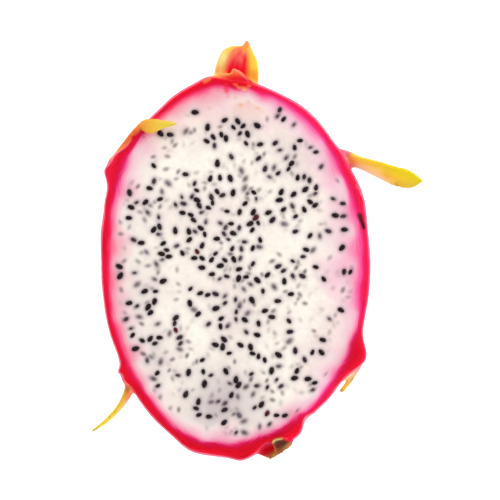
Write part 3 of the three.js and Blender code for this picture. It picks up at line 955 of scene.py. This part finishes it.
# Gives each point of the rind its scale's colour, and its place in the rim.
def paintRind(mesh, blades):
    points = readPoints(mesh)
    samples, paints = (np.concatenate(part) for part in zip(*(bladePaint(*blade) for blade in blades)))
    tree = KDTree(len(samples))
    for i, sample in enumerate(samples.tolist()):
        tree.insert(sample, i)
    tree.balance()
    *rim, _ = readRim(points)
    near, far = rindForm["cutBlend"]
    onTop = smoothStep(points[:, 2], fruit["cutLevel"] - far, fruit["cutLevel"] - near)
    aboveCut = smoothStep(points[:, 2], fruit["cutLevel"] + near, fruit["cutLevel"] + far)
    onCut = (onTop * (1 - aboveCut))[:, None]
    reaches = np.array(rindForm["scaleReachOnCut"]) * onCut + np.array(rindForm["scaleReach"]) * (1 - onCut)
    paint, away = np.zeros((len(points), 4)), np.zeros(len(points))
    for i, point in enumerate(points.tolist()):
        found = tree.find_n(point, rindForm["paintSamples"])
        away[i] = found[0][2]
        if away[i] < rindForm["paintReach"]:
            weights = np.array([1 / (gap + rindForm["paintSoftness"]) ** 2 for _, _, gap in found])
            nearest = paints[[index for _, index, _ in found]]
            paint[i] = (nearest * weights[:, None]).sum(axis=0) / weights.sum()
    scaleShare = paint[:, 3] * (1 - smoothStep(away, reaches[:, 0], reaches[:, 1]))
    markColour, markShare = markCut(points)
    markShare *= onTop
    scaleShare *= 1 - markShare
    scaleWeight = scaleShare + 1e-4 * (away < rindForm["paintReach"])
    colour = paint[:, :3] * scaleWeight[:, None] + markColour * markShare[:, None]
    colour /= np.maximum(scaleWeight + markShare, 1e-12)[:, None]
    writeShares(mesh, "scalePaint", np.column_stack([colour, np.ones(len(points))]))
    writeShares(mesh, "scaleShare", scaleShare + markShare)
    writeShares(mesh, "cutShare", onTop)
    writeRim(mesh, rim)


# Waxy red fruit skin: deep and softly glossy, a little mottled, with thin scales that let some light in, and
# a painted glow of light through the thin rind near the cut.
waxySkin = {
    "deep": "b2062c",
    "bright": "da1c44",
    "streak": "980822",
    "edge": "f43a80",  # hot pink towards the cut: painted glow, as if light came through the thin rind there
    "edgeShare": 0.65,
    "edgeGlowMm": 8,
    "patchMm": 9,
    "streakMm": 1.6,
    "streakStretch": 0.22,  # streaks run along the fruit
    "streakShare": 0.55,
    "roughness": (0.4, 0.54),
    "specular": 0.22,
    "subsurface": 0.06,
    "poreMm": 0.9,
    "poreDeepMm": 0.3,
    "bump": 0.12,
}
# Freshly cut rind: moist but matt, so that its red stays deep.
cutRind = {
    "streak": "b40420",
    "streakShare": 0.5,
    "roughness": (0.5, 0.6),
    "specular": 0.1,
    "subsurface": 0.06,
    "poreMm": 0.9,
    "poreDeepMm": 0.3,
    "bump": 0.12,
}


def addSkinColour(tree, place):
    patches = addNode(tree, "ShaderNodeTexNoise", {
        "Vector": place, "Scale": 1000 / waxySkin["patchMm"], "Detail": 5.0, "Roughness": 0.65})
    skin = addNode(tree, "ShaderNodeValToRGB", {"Fac": patches.outputs["Fac"]},
                   stops=[(0.36, waxySkin["deep"]), (0.64, waxySkin["bright"])])
    stretched = addNode(tree, "ShaderNodeMapping", {
        "Vector": place, "Scale": (1.0, waxySkin["streakStretch"], 1.0)})
    streaks = addNode(tree, "ShaderNodeTexNoise", {
        "Vector": stretched.outputs["Vector"], "Scale": 1000 / waxySkin["streakMm"], "Detail": 3.0})
    streak = addNode(tree, "ShaderNodeMapRange", {
        "Value": streaks.outputs["Fac"], "From Min": 0.48, "From Max": 0.72,
        "To Max": waxySkin["streakShare"]})
    height = addNode(tree, "ShaderNodeSeparateXYZ", {"Vector": place}).outputs["Z"]
    # painted glow: the skin turns hot pink towards the cut, as if lit through the thin rind
    cutHeight = fruit["cutLevel"] * metresPerMm
    edge = addNode(tree, "ShaderNodeMapRange", {
        "Value": height, "From Min": cutHeight - waxySkin["edgeGlowMm"] * metresPerMm, "From Max": cutHeight,
        "To Max": waxySkin["edgeShare"]}, interpolation_type="SMOOTHSTEP")
    colour = skin.outputs["Color"]
    for share, name in ((streak, "streak"), (edge, "edge")):
        colour = addNode(tree, "ShaderNodeMix", {
            "Factor": share.outputs["Result"], 6: colour, 7: (*linearColour(waxySkin[name]), 1)},
            data_type="RGBA").outputs[2]
    return colour, patches.outputs["Fac"]


# The rim's colour with the darker fibres of its red.
def addCutColour(tree):
    rim, stage, fibres = addRimColour(tree)
    darker = addNode(tree, "ShaderNodeMapRange", {
        "Value": fibres, "From Min": 0.5, "From Max": 0.66, "To Max": cutRind["streakShare"]})
    inRed = addNode(tree, "ShaderNodeMapRange", {
        "Value": stage, "From Min": 0.7, "From Max": 1.1, "To Min": 1.0, "To Max": 0.0})
    darkened = addNode(tree, "ShaderNodeMath", {
        0: darker.outputs["Result"], 1: inRed.outputs["Result"]}, operation="MULTIPLY")
    return addNode(tree, "ShaderNodeMix", {
        "Factor": darkened.outputs["Value"], 6: rim, 7: (*linearColour(cutRind["streak"]), 1)},
        data_type="RGBA").outputs[2]


# Skin that turns to the cut's colours at its edge, with the scales' own colours over both.
def makeSkinMaterial(name, look):
    material, tree = newMaterial(name)
    place = addNode(tree, "ShaderNodeTexCoord").outputs["Object"]
    colour, patches = addSkinColour(tree, place)
    paint = addNode(tree, "ShaderNodeAttribute", attribute_name="scalePaint")
    for shareName, layer in (("cutShare", addCutColour(tree)), ("scaleShare", paint.outputs["Color"])):
        share = addNode(tree, "ShaderNodeAttribute", attribute_name=shareName)
        colour = addNode(tree, "ShaderNodeMix", {
            "Factor": share.outputs["Fac"], 6: colour, 7: layer}, data_type="RGBA").outputs[2]
    sheen = addNode(tree, "ShaderNodeMapRange", {
        "Value": patches, "To Min": look["roughness"][0], "To Max": look["roughness"][1]})
    pores = addNode(tree, "ShaderNodeTexNoise", {
        "Vector": place, "Scale": 1000 / look["poreMm"], "Detail": 3.0})
    bump = addNode(tree, "ShaderNodeBump", {
        "Height": pores.outputs["Fac"], "Strength": look["bump"],
        "Distance": look["poreDeepMm"] * metresPerMm})
    surface = addNode(tree, "ShaderNodeBsdfPrincipled", {
        "Base Color": colour,
        "Roughness": sheen.outputs["Result"],
        "Specular IOR Level": look["specular"],
        "Subsurface Weight": look["subsurface"],
        "Subsurface Radius": (0.0022, 0.0008, 0.0005),  # metres for red, green and blue light
        "Subsurface Scale": 1.0,
        "Normal": bump.outputs["Normal"],
    })
    addNode(tree, "ShaderNodeOutputMaterial", {"Surface": surface.outputs["BSDF"]})
    return material


# Gives the faces of the cut the second material.
def markCutFaces(mesh):
    mesh.materials.clear()  # the hollowing leaves an empty one
    centres, normals = (np.zeros(len(mesh.polygons) * 3) for _ in range(2))
    mesh.polygons.foreach_get("center", centres)
    mesh.polygons.foreach_get("normal", normals)
    level, up = centres[2::3] - fruit["cutLevel"], normals[2::3]
    near, least = rindForm["cutFaces"]
    cut = (np.abs(level) < near) & (up > least)
    mesh.polygons.foreach_set("material_index", cut.astype(np.int32))


def makeRind():
    blades = [(rimRows(look), look) for look in rimScales.values()]
    blades += [(backBladeRows(*place), backScales) for place in backPlaces()]
    print(len(blades), "scales")
    piece = makeRindShape(blades)
    paintRind(piece.data, blades)
    markCutFaces(piece.data)
    finishes = [
        makeSkinMaterial("waxyDragonFruitSkin", waxySkin),
        makeSkinMaterial("freshlyCutRind", cutRind),
    ]
    finishPiece(piece, finishes, "rind", "rind")


seedForm = {
    "count": 320,
    "length": 2.12,
    "width": 1.34,
    "height": 1.15,
    "spacing": 1.75,
    "rimMargin": 1.8,
    "evenShare": 0.42,  # chance of a seed at a drawn place, before seedPlaces changes it
    "flattening": 0.6,  # seeds point outward, but less so along the fruit
    "leanBelow": -28,  # near the blossom end they lean one way instead
    "leanAngle": 45,
    "wobble": 75,
    "smallest": 0.82,
    "largest": 1.18,
    "firstDraw": 769876,
    "bareZone": (0, 53, 17, 8),
    "along": 12,
    "around": 10,
    "fullness": (2.3, 0.55),  # powers that round its ends
    "taper": 0.2,
    "tilt": 0.5,
    "sink": (0.02, 0.4),  # how far the middle lies below the cut, for clear seeds and for veiled ones
    "veiledSize": 0.72,
}
# Where seeds lie closer together or further apart: x, y, change of the chance, and radius.
seedPlaces = [
    (-3, 10, 0.5, 8),
    (2, -11, 0.5, 7),
    (-4, -36, 0.45, 6),
    (-3, 42, 0.3, 6),
    (-13, 18, 0.4, 5),
    (13, -7, 0.45, 4),
    (18, 27, 0.15, 7),
    (-29, -13, 0.35, 5),
    (-25, 5, 0.2, 5),
    (-26, -28, 0.3, 5),
    (-30, 26, 0.15, 6),
    (12, 8, -0.35, 5),
    (-13, -25, -0.35, 5),
    (23, -7, -0.3, 6),
    (-20, -3, -0.3, 4),
    (-19, 35, -0.25, 6),
    (-18, -42, -0.3, 6),
]


# Even draws from 0 to 1 that are the same on every run.
def makeDraw(first):
    state = first
    while True:
        state = (state * 1664525 + 1013904223) % 2**32
        yield state / 2**32


# The next place on the cut, and whether it lies in the seeds' bed, which has a margin to the rind.
def drawPlace(draw, margin):
    x = fruit["pulpX"] + (2 * next(draw) - 1) * fruit["pulpHalfWidth"]
    y = fruit["pulpY"] + (2 * next(draw) - 1) * fruit["pulpHalfLength"]
    bed = (fruit["pulpX"], fruit["pulpY"], fruit["pulpHalfWidth"] - margin, fruit["pulpHalfLength"] - margin)
    return x, y, insideEllipse(x, y, *bed) and not insideEllipse(x, y, *seedForm["bareZone"])


def placeSeeds():
    draw = makeDraw(seedForm["firstDraw"])
    placed = []
    while len(placed) < seedForm["count"]:
        x, y, inBed = drawPlace(draw, seedForm["rimMargin"])
        chance = next(draw)
        share = seedForm["evenShare"] + sum(
            strength * math.exp(-0.5 * (math.hypot(x - px, y - py) / radius) ** 2)
            for px, py, strength, radius in seedPlaces)
        free = all(math.hypot(x - seed[0], y - seed[1]) > seedForm["spacing"] for seed in placed)
        if inBed and chance < share and free:
            outward = math.degrees(math.atan2(y * seedForm["flattening"], x))
            lie = seedForm["leanAngle"] if y < seedForm["leanBelow"] else outward
            wobble = (next(draw) + next(draw) + next(draw) - 1.5) * seedForm["wobble"]
            flip = 180 if next(draw) < 0.5 else 0
            size = seedForm["smallest"] + (seedForm["largest"] - seedForm["smallest"]) * next(draw)
            placed.append((x, y, math.radians(lie + wobble + flip), size))
    return placed


fleshForm = {
    "cells": 260,  # along each side of the cut face's grid
    "lowerRings": 12,
    "relief": 0.14,  # what a knife leaves
    "reliefLength": 7,
    "grain": 0.05,
    "grainLength": 1.3,
    "ghosts": 280,  # dull seeds that lie just under the cut
    "ghostDraw": 90210,
    "ghostMargin": 0.6,  # as a share of the other seeds' margin
    "ghostClear": 1.2,
    "ghostStrength": (0.12, 0.85),
    "ghostLength": (0.8, 0.3),  # the least half length, and what chance adds
    "ghostWidth": (0.55, 0.15),
    # how far the painted shade round each seed reaches
    "haloReach": 1.5,
    "softEdge": 1.12,  # how far a seed's dimmed edge reaches, in lengths of the seed
    "softStrength": 0.85,
    "softHardness": 1.3,
    "softFall": 0.7,  # how soon a soft place fades towards its edge
}

# Soft places in the flesh: greyish mauve, painted shade where the flesh is duller and seeds lie close below
# the cut; pink, a painted glow where the rind shines through; pale warm white, painted light where the flesh
# is clear. x, y, half width, half length, tint and strength.
softPlaces = [
    (-4, -40.5, 9, 9, "lilacSeedsAndShade", 0.95),
    (-29.5, -5.3, 5, 8, "lilacSeedsAndShade", 0.25),
    (1.2, 44.3, 9, 5, "lilacSeedsAndShade", 0.35),
    (17.7, 35.9, 5, 7, "lilacSeedsAndShade", 0.3),
    (-25.5, -27, 5.5, 5.5, "lilacSeedsAndShade", 0.42),
    (28, 9, 4, 6, "lilacSeedsAndShade", 0.15),
    (0, -13, 5, 7, "lilacSeedsAndShade", 0.3),
    (-14, 20, 5, 4, "lilacSeedsAndShade", 0.15),
    (26, -26, 5, 7, "lilacSeedsAndShade", 0.15),
    (-0.5, 50.6, 11, 4, "blush", 0.75),
    (-11, 48.5, 7, 4, "blush", 0.35),
    (13, 47, 7, 5, "blush", 0.35),
    (27, 36, 6, 10, "pinkGlow", 0.5),
    (33, 15, 5, 14, "pinkGlow", 0.5),
    (33, -12, 5, 12, "pinkGlow", 0.4),
    (27, -31, 6, 8, "pinkGlow", 0.4),
    (-31, 22, 5, 12, "lilacSeedsAndShade", 0.22),
    (-31, -16, 5, 12, "lilacSeedsAndShade", 0.2),
    (16, 4, 9, 14, "creamPaintedLight", 0.6),
    (0.5, 8, 7, 6, "creamPaintedLight", 0.8),
    (10, -13, 5, 5, "creamPaintedLight", 0.4),
    (15.5, -39, 7, 6, "creamPaintedLight", 0.7),
    (-19, -12, 7, 9, "creamPaintedLight", 0.5),
    (-11, -27, 5, 5, "creamPaintedLight", 0.4),
    (-14, 2, 7, 7, "creamPaintedLight", 0.3),
    (6, -25, 8, 6, "creamPaintedLight", 0.3),
    (-6, 30, 9, 6, "creamPaintedLight", 0.3),
]


# An even grid on a square becomes an even grid on a disc.
def squareToEllipse(u, v):
    return u * np.sqrt(1 - v**2 / 2), v * np.sqrt(1 - u**2 / 2)


def ovalMark(points, x, y, turned, length, width, hardness):
    ahead = (points[:, 0] - x) * math.cos(turned) + (points[:, 1] - y) * math.sin(turned)
    aside = (points[:, 1] - y) * math.cos(turned) - (points[:, 0] - x) * math.sin(turned)
    return np.exp(-(((ahead / length) ** 2 + (aside / width) ** 2) ** hardness))


# How much each point of the cut is darkened by painted shade round the seeds in it, and by the dull marks of
# those just below it.
def markSeeds(points, seeds):
    halo, ghost = np.zeros(len(points)), np.zeros(len(points))
    for x, y, angle, size in seeds:
        away = np.hypot(points[:, 0] - x, points[:, 1] - y)
        halo = np.maximum(halo, np.exp(-((away / fleshForm["haloReach"]) ** 2)))
        reach = size * fleshForm["softEdge"] / 2
        length, width = seedForm["length"] * reach, seedForm["width"] * reach
        edge = ovalMark(points, x, y, angle, length, width, fleshForm["softHardness"])
        ghost = np.maximum(ghost, fleshForm["softStrength"] * edge)
    draw = makeDraw(fleshForm["ghostDraw"])
    low, high = fleshForm["ghostStrength"]
    margin = seedForm["rimMargin"] * fleshForm["ghostMargin"]
    made = 0
    while made < fleshForm["ghosts"]:
        x, y, inBed = drawPlace(draw, margin)
        turned, strength, size = next(draw) * math.pi, next(draw), next(draw)
        clear = all(math.hypot(x - seed[0], y - seed[1]) > fleshForm["ghostClear"] for seed in seeds)
        if not inBed or not clear:
            continue
        made += 1
        length, width = (
            least + more * size for least, more in (fleshForm["ghostLength"], fleshForm["ghostWidth"]))
        mark = ovalMark(points, x, y, turned, length, width, 1 + 0.4 * strength)
        ghost = np.maximum(ghost, (low + (high - low) * strength**1.4) * mark)
    return halo, ghost


# The cut face is a fine grid drawn out to the pulp's outline, with rings below it down to the end.
def makeFleshShape():
    cells = fleshForm["cells"]
    steps = np.linspace(-1, 1, cells + 1)
    u, v = np.meshgrid(steps, steps, indexing="ij")
    share = ringShare(fruit["cutLevel"], fruit["pulpDepth"])
    halfWidth, halfLength = fruit["pulpHalfWidth"] * share, fruit["pulpHalfLength"] * share
    discX, discY = squareToEllipse(u.ravel(), v.ravel())
    top = np.column_stack([
        fruit["pulpX"] + halfWidth * discX,
        fruit["pulpY"] + halfLength * discY,
        np.full(discX.size, fruit["cutLevel"]),
    ])
    number = np.arange((cells + 1) ** 2).reshape(cells + 1, cells + 1)
    faces = [
        (int(number[i, j]), int(number[i + 1, j]), int(number[i + 1, j + 1]), int(number[i, j + 1]))
        for i in range(cells) for j in range(cells)
    ]
    rim = np.concatenate([number[:-1, 0], number[-1, :-1], number[:0:-1, -1], number[0, :0:-1]])
    turn = np.arctan2(discY[rim], discX[rim])
    points, above = [top], rim
    for level in reversed(pulpLevels(fruit["cutLevel"], fleshForm["lowerRings"])[:-1]):
        first = sum(len(part) for part in points)
        points.append(pulpRing(level, turn))
        below = np.arange(first, first + turn.size)
        for j in range(turn.size):
            k = (j + 1) % turn.size
            faces.append((int(above[j]), int(below[j]), int(below[k]), int(above[k])))
        above = below
    faces.append(tuple(int(i) for i in above[::-1]))
    relief = fleshForm["relief"] * waves(top, fleshForm["reliefLength"], 3)
    relief += fleshForm["grain"] * waves(top, fleshForm["grainLength"], 4)
    fromRim = 1 - np.hypot(discX, discY)
    top[:, 2] += relief * smoothStep(fromRim, 0, 0.06)
    return newPiece("fleshCut", np.concatenate(points), faces)


def paintFlesh(mesh, seeds):
    points = readPoints(mesh)
    halo, ghost = markSeeds(points, seeds)
    tint, tintShare = np.zeros((len(points), 3)), np.zeros(len(points))
    clear = np.ones(len(points))
    # soft places of painted light, painted shade and painted pink glow tint the flesh
    for x, y, halfWidth, halfLength, name, strength in softPlaces:
        away = ((points[:, 0] - x) / halfWidth) ** 2 + ((points[:, 1] - y) / halfLength) ** 2
        share = strength * np.exp(-fleshForm["softFall"] * away)
        tint += share[:, None] * linearColour(moistFlesh[name])
        tintShare += share
        clear *= 1 - share
    tint /= np.maximum(tintShare, 1e-6)[:, None]
    markColour, markShare = markCut(points)
    *rim, _ = readRim(points)
    writeShares(mesh, "fleshTint", np.column_stack([tint, np.ones(len(points))]))
    writeShares(mesh, "tintShare", 1 - clear)
    writeShares(mesh, "markColour", np.column_stack([markColour, np.ones(len(points))]))
    writeShares(mesh, "markShare", markShare)
    writeShares(mesh, "seedHalo", halo)
    writeShares(mesh, "ghostSeed", ghost)
    writeRim(mesh, rim)


# Moist white fruit flesh: soft, light-holding and finely grained, pink beside the rind, with soft patches of
# painted light and shade and painted shade round its seeds.
moistFlesh = {
    "clear": "fdf6ea",
    "cloudy": "f2e4dc",
    # painted light for the flesh's brightest places
    "creamPaintedLight": "fef9ec",
    "mottle": "e4d4d4",
    # painted shade, also where seeds lie close below the cut
    "lilacSeedsAndShade": "c8bcbc",
    "blush": "f4b4b0",
    # painted glow of the rind through the flesh
    "pinkGlow": "f6bccc",
    "ghost": "4e3c46",
    # painted shade round each seed
    "haloTint": "b8a4ac",
    "halo": 0.42,
    "patchMm": 13,
    "mottleMm": 2.6,
    "mottleShare": 0.4,
    "roughness": 0.45,
    "specular": 0.2,
    "subsurface": 0.08,
    "grainMm": 1.1,
    "grainDeepMm": 0.2,
    "bump": 0.25,
    "rimFrom": 3.6,  # the rim's stages over which its colour gives way to the flesh's own
    "rimTo": 7.5,
}


def makeMoistFlesh():
    material, tree = newMaterial("moistWhiteFruitFlesh")
    place = addNode(tree, "ShaderNodeTexCoord").outputs["Object"]
    named = {
        name: addNode(tree, "ShaderNodeAttribute", attribute_name=name).outputs
        for name in ("fleshTint", "tintShare", "markColour", "markShare", "seedHalo", "ghostSeed")}
    patches = addNode(tree, "ShaderNodeTexNoise", {
        "Vector": place, "Scale": 1000 / moistFlesh["patchMm"], "Detail": 5.0, "Roughness": 0.65})
    ground = addNode(tree, "ShaderNodeValToRGB", {"Fac": patches.outputs["Fac"]},
                     stops=[(0.4, moistFlesh["clear"]), (0.68, moistFlesh["cloudy"])]).outputs["Color"]
    specks = addNode(tree, "ShaderNodeTexNoise", {
        "Vector": place, "Scale": 1000 / moistFlesh["mottleMm"], "Detail": 3.0, "Roughness": 0.6})
    mottled = addNode(tree, "ShaderNodeMapRange", {
        "Value": specks.outputs["Fac"], "From Min": 0.46, "From Max": 0.72,
        "To Max": moistFlesh["mottleShare"]}).outputs["Result"]
    rim, stage, _ = addRimColour(tree)
    nearRim = addNode(tree, "ShaderNodeMapRange", {
        "Value": stage, "From Min": moistFlesh["rimFrom"], "From Max": moistFlesh["rimTo"],
        "To Min": 1.0, "To Max": 0.0}, interpolation_type="SMOOTHSTEP").outputs["Result"]
    # painted shade round the seeds
    halo = addNode(tree, "ShaderNodeMath", {
        0: named["seedHalo"]["Fac"], 1: moistFlesh["halo"]}, operation="MULTIPLY").outputs["Value"]
    layers = [
        (named["tintShare"]["Fac"], named["fleshTint"]["Color"]),
        (mottled, (*linearColour(moistFlesh["mottle"]), 1)),
        (nearRim, rim),
        (halo, (*linearColour(moistFlesh["haloTint"]), 1)),
        (named["ghostSeed"]["Fac"], (*linearColour(moistFlesh["ghost"]), 1)),
        (named["markShare"]["Fac"], named["markColour"]["Color"]),
    ]
    colour = ground
    for share, layer in layers:
        colour = addNode(tree, "ShaderNodeMix", {
            "Factor": share, 6: colour, 7: layer}, data_type="RGBA").outputs[2]
    grain = addNode(tree, "ShaderNodeTexNoise", {
        "Vector": place, "Scale": 1000 / moistFlesh["grainMm"], "Detail": 3.0})
    bump = addNode(tree, "ShaderNodeBump", {
        "Height": grain.outputs["Fac"], "Strength": moistFlesh["bump"],
        "Distance": moistFlesh["grainDeepMm"] * metresPerMm})
    surface = addNode(tree, "ShaderNodeBsdfPrincipled", {
        "Base Color": colour,
        "Roughness": moistFlesh["roughness"],
        "Specular IOR Level": moistFlesh["specular"],
        "Subsurface Weight": moistFlesh["subsurface"],
        "Subsurface Radius": (0.0022, 0.0012, 0.0009),
        "Subsurface Scale": 1.0,
        "Normal": bump.outputs["Normal"],
    })
    addNode(tree, "ShaderNodeOutputMaterial", {"Surface": surface.outputs["BSDF"]})
    return material


# Wet seed coat: near black with a plum tinge and small lights, greyer where the flesh veils it.
seedGloss = {
    "colours": ["1c1115", "22161a", "2b1e23", "372930", "463740", "574852", "6a5b65", "7e6f79"],
    "odd": ["52141a", "4e2414"],  # a few unripe ones
    "oddShare": 0.01,
    "roughness": 0.42,
    "specular": 0.14,
}


# Each seed is a drop, blunt at one end, lying half sunk in the flesh or deeper.
def makeSeedShape(seeds):
    alongSteps, around = seedForm["along"], seedForm["around"]
    v = np.cos(np.pi * (np.arange(alongSteps) + 0.5) / alongSteps)
    endPower, sidePower = seedForm["fullness"]
    girth = (1 - np.abs(v) ** endPower) ** sidePower * (1 - seedForm["taper"] * v)
    girth = girth / girth.max()
    turn = anglesRound(around)
    draw = makeDraw(seedForm["firstDraw"] + 1)
    low, high = seedForm["sink"]
    points, faces, colours = [], [], []
    ringFaces = tubeFaces(alongSteps, around)
    for number, (x, y, angle, size) in enumerate(seeds):
        veil = next(draw) ** 2
        shown = size * (1 + (seedForm["veiledSize"] - 1) * veil)
        half = np.array([seedForm["length"], seedForm["width"], seedForm["height"]]) * shown / 2
        ahead = np.repeat(v, around) * half[0]
        aside = (girth[:, None] * np.cos(turn)).ravel() * half[1]
        up = (girth[:, None] * np.sin(turn)).ravel() * half[2]
        tilt = (next(draw) - 0.5) * seedForm["tilt"]
        raised = ahead * math.sin(tilt) + up * math.cos(tilt)
        ahead = ahead * math.cos(tilt) - up * math.sin(tilt)
        level = fruit["cutLevel"] - low - (high - low) * veil
        points.append(np.column_stack([
            x + ahead * math.cos(angle) - aside * math.sin(angle),
            y + ahead * math.sin(angle) + aside * math.cos(angle),
            level + raised,
        ]))
        odd = next(draw) < seedGloss["oddShare"]
        palette = seedGloss["odd"] if odd else seedGloss["colours"]
        colour = linearColour(palette[int(veil * len(palette))])
        colours.append(np.tile([*colour, 1], (alongSteps * around, 1)))
        first = number * alongSteps * around
        faces += [tuple(first + i for i in face) for face in ringFaces]
    piece = newPiece("seeds", np.concatenate(points), faces)
    writeShares(piece.data, "seedColour", np.concatenate(colours))
    return piece


def makeSeedCoat():
    material, tree = newMaterial("wetSeedCoat")
    colour = addNode(tree, "ShaderNodeAttribute", attribute_name="seedColour")
    surface = addNode(tree, "ShaderNodeBsdfPrincipled", {
        "Base Color": colour.outputs["Color"],
        "Roughness": seedGloss["roughness"],
        "Specular IOR Level": seedGloss["specular"],
    })
    addNode(tree, "ShaderNodeOutputMaterial", {"Surface": surface.outputs["BSDF"]})
    return material


def makeFlesh():
    seeds = placeSeeds()
    flesh = makeFleshShape()
    paintFlesh(flesh.data, seeds)
    finishPiece(flesh, [makeMoistFlesh()], "flesh", "flesh")
    finishPiece(makeSeedShape(seeds), [makeSeedCoat()], "flesh", "flesh")


studio = {
    "distance": 0.9,  # from the cut, in metres, like the width that the picture takes in there
    "frameWidth": 0.15,
    "lookX": 0.0042,
    "lookY": 0.0059,
    "sensor": 36,
    "clipEnd": 20,
    "floor": "f7f7f7",
    "floorSide": 3.0,
    "floorRoughness": 0.9,
    "floorGlow": 0.6,
    "sky": 0.85,  # all round, and dimmer straight above, so that the cut face doesn't turn milky
    "skyAbove": 0.08,
    "skyDimsFrom": 0.5,
    "skyDimsTo": 0.85,
    "brightSide": (0.8, 0.6, 0),  # the way to the brighter side of the sky
    "skySides": (0.5, 1.5),  # the sky's strength away from it and towards it, as shares
    "lightsTowards": (0, 0, 0.04),
    # place in metres, size and watts of each soft light
    "lights": [
        ((0.62, 0.42, 0.55), 0.5, 4.7),
        ((-0.68, 0.3, 0.5), 0.5, 2.8),
        ((0.05, -0.75, 0.5), 0.5, 2.6),
    ],
}


def makeSky():
    world = bpy.data.worlds.new("paleSurroundings")
    world.use_nodes = True
    tree = world.node_tree
    way = addNode(tree, "ShaderNodeTexCoord").outputs["Generated"]
    height = addNode(tree, "ShaderNodeSeparateXYZ", {"Vector": way}).outputs["Z"]
    dimming = addNode(tree, "ShaderNodeMapRange", {
        "Value": height, "From Min": studio["skyDimsFrom"], "From Max": studio["skyDimsTo"],
        "To Min": studio["sky"], "To Max": studio["skyAbove"]}, interpolation_type="SMOOTHSTEP")
    towards = addNode(tree, "ShaderNodeVectorMath", {
        0: way, 1: studio["brightSide"]}, operation="DOT_PRODUCT")
    sided = addNode(tree, "ShaderNodeMapRange", {
        "Value": towards.outputs["Value"], "From Min": -1.0, "From Max": 1.0,
        "To Min": studio["skySides"][0], "To Max": studio["skySides"][1]})
    strength = addNode(tree, "ShaderNodeMath", {
        0: dimming.outputs["Result"], 1: sided.outputs["Result"]}, operation="MULTIPLY")
    background = tree.nodes["Background"]
    background.inputs["Color"].default_value = (1, 1, 1, 1)
    tree.links.new(strength.outputs["Value"], background.inputs["Strength"])
    bpy.context.scene.world = world
    bpy.context.scene.view_settings.view_transform = "Standard"


# A pale matt table that glows a little, so that it stays near white beside the red.
def makeTable():
    floorMesh = bpy.data.meshes.new("floor")
    side = studio["floorSide"]
    corners = [(-side, -side, 0), (side, -side, 0), (side, side, 0), (-side, side, 0)]
    floorMesh.from_pydata(corners, [], [(0, 1, 2, 3)])
    floor = bpy.data.objects.new("floor", floorMesh)
    bpy.context.scene.collection.objects.link(floor)
    material, tree = newMaterial("paleTable")
    pale = (*linearColour(studio["floor"]), 1)
    surface = addNode(tree, "ShaderNodeBsdfPrincipled", {
        "Base Color": pale,
        "Roughness": studio["floorRoughness"],
        "Emission Color": pale,
        "Emission Strength": studio["floorGlow"],
    })
    addNode(tree, "ShaderNodeOutputMaterial", {"Surface": surface.outputs["BSDF"]})
    floorMesh.materials.append(material)


def makeLights():
    target = Vector(studio["lightsTowards"])
    for i, (place, size, power) in enumerate(studio["lights"]):
        light = bpy.data.lights.new(f"softLight{i}", "AREA")
        light.size = size
        light.energy = power
        lamp = bpy.data.objects.new(f"softLight{i}", light)
        lamp.location = place
        lamp.rotation_euler = (target - Vector(place)).to_track_quat("-Z", "Y").to_euler()
        bpy.context.scene.collection.objects.link(lamp)


def makeCamera():
    lens = bpy.data.cameras.new("camera")
    lens.sensor_width = studio["sensor"]
    lens.lens = studio["sensor"] * studio["distance"] / studio["frameWidth"]
    lens.clip_end = studio["clipEnd"]
    camera = bpy.data.objects.new("camera", lens)
    height = fruit["cutLevel"] * metresPerMm + studio["distance"]
    camera.location = (studio["lookX"], studio["lookY"], height)
    bpy.context.scene.collection.objects.link(camera)
    bpy.context.scene.camera = camera


makeCamera()
makeSky()
makeTable()
makeLights()
print("studio ready")
makeRind()
makeFlesh()
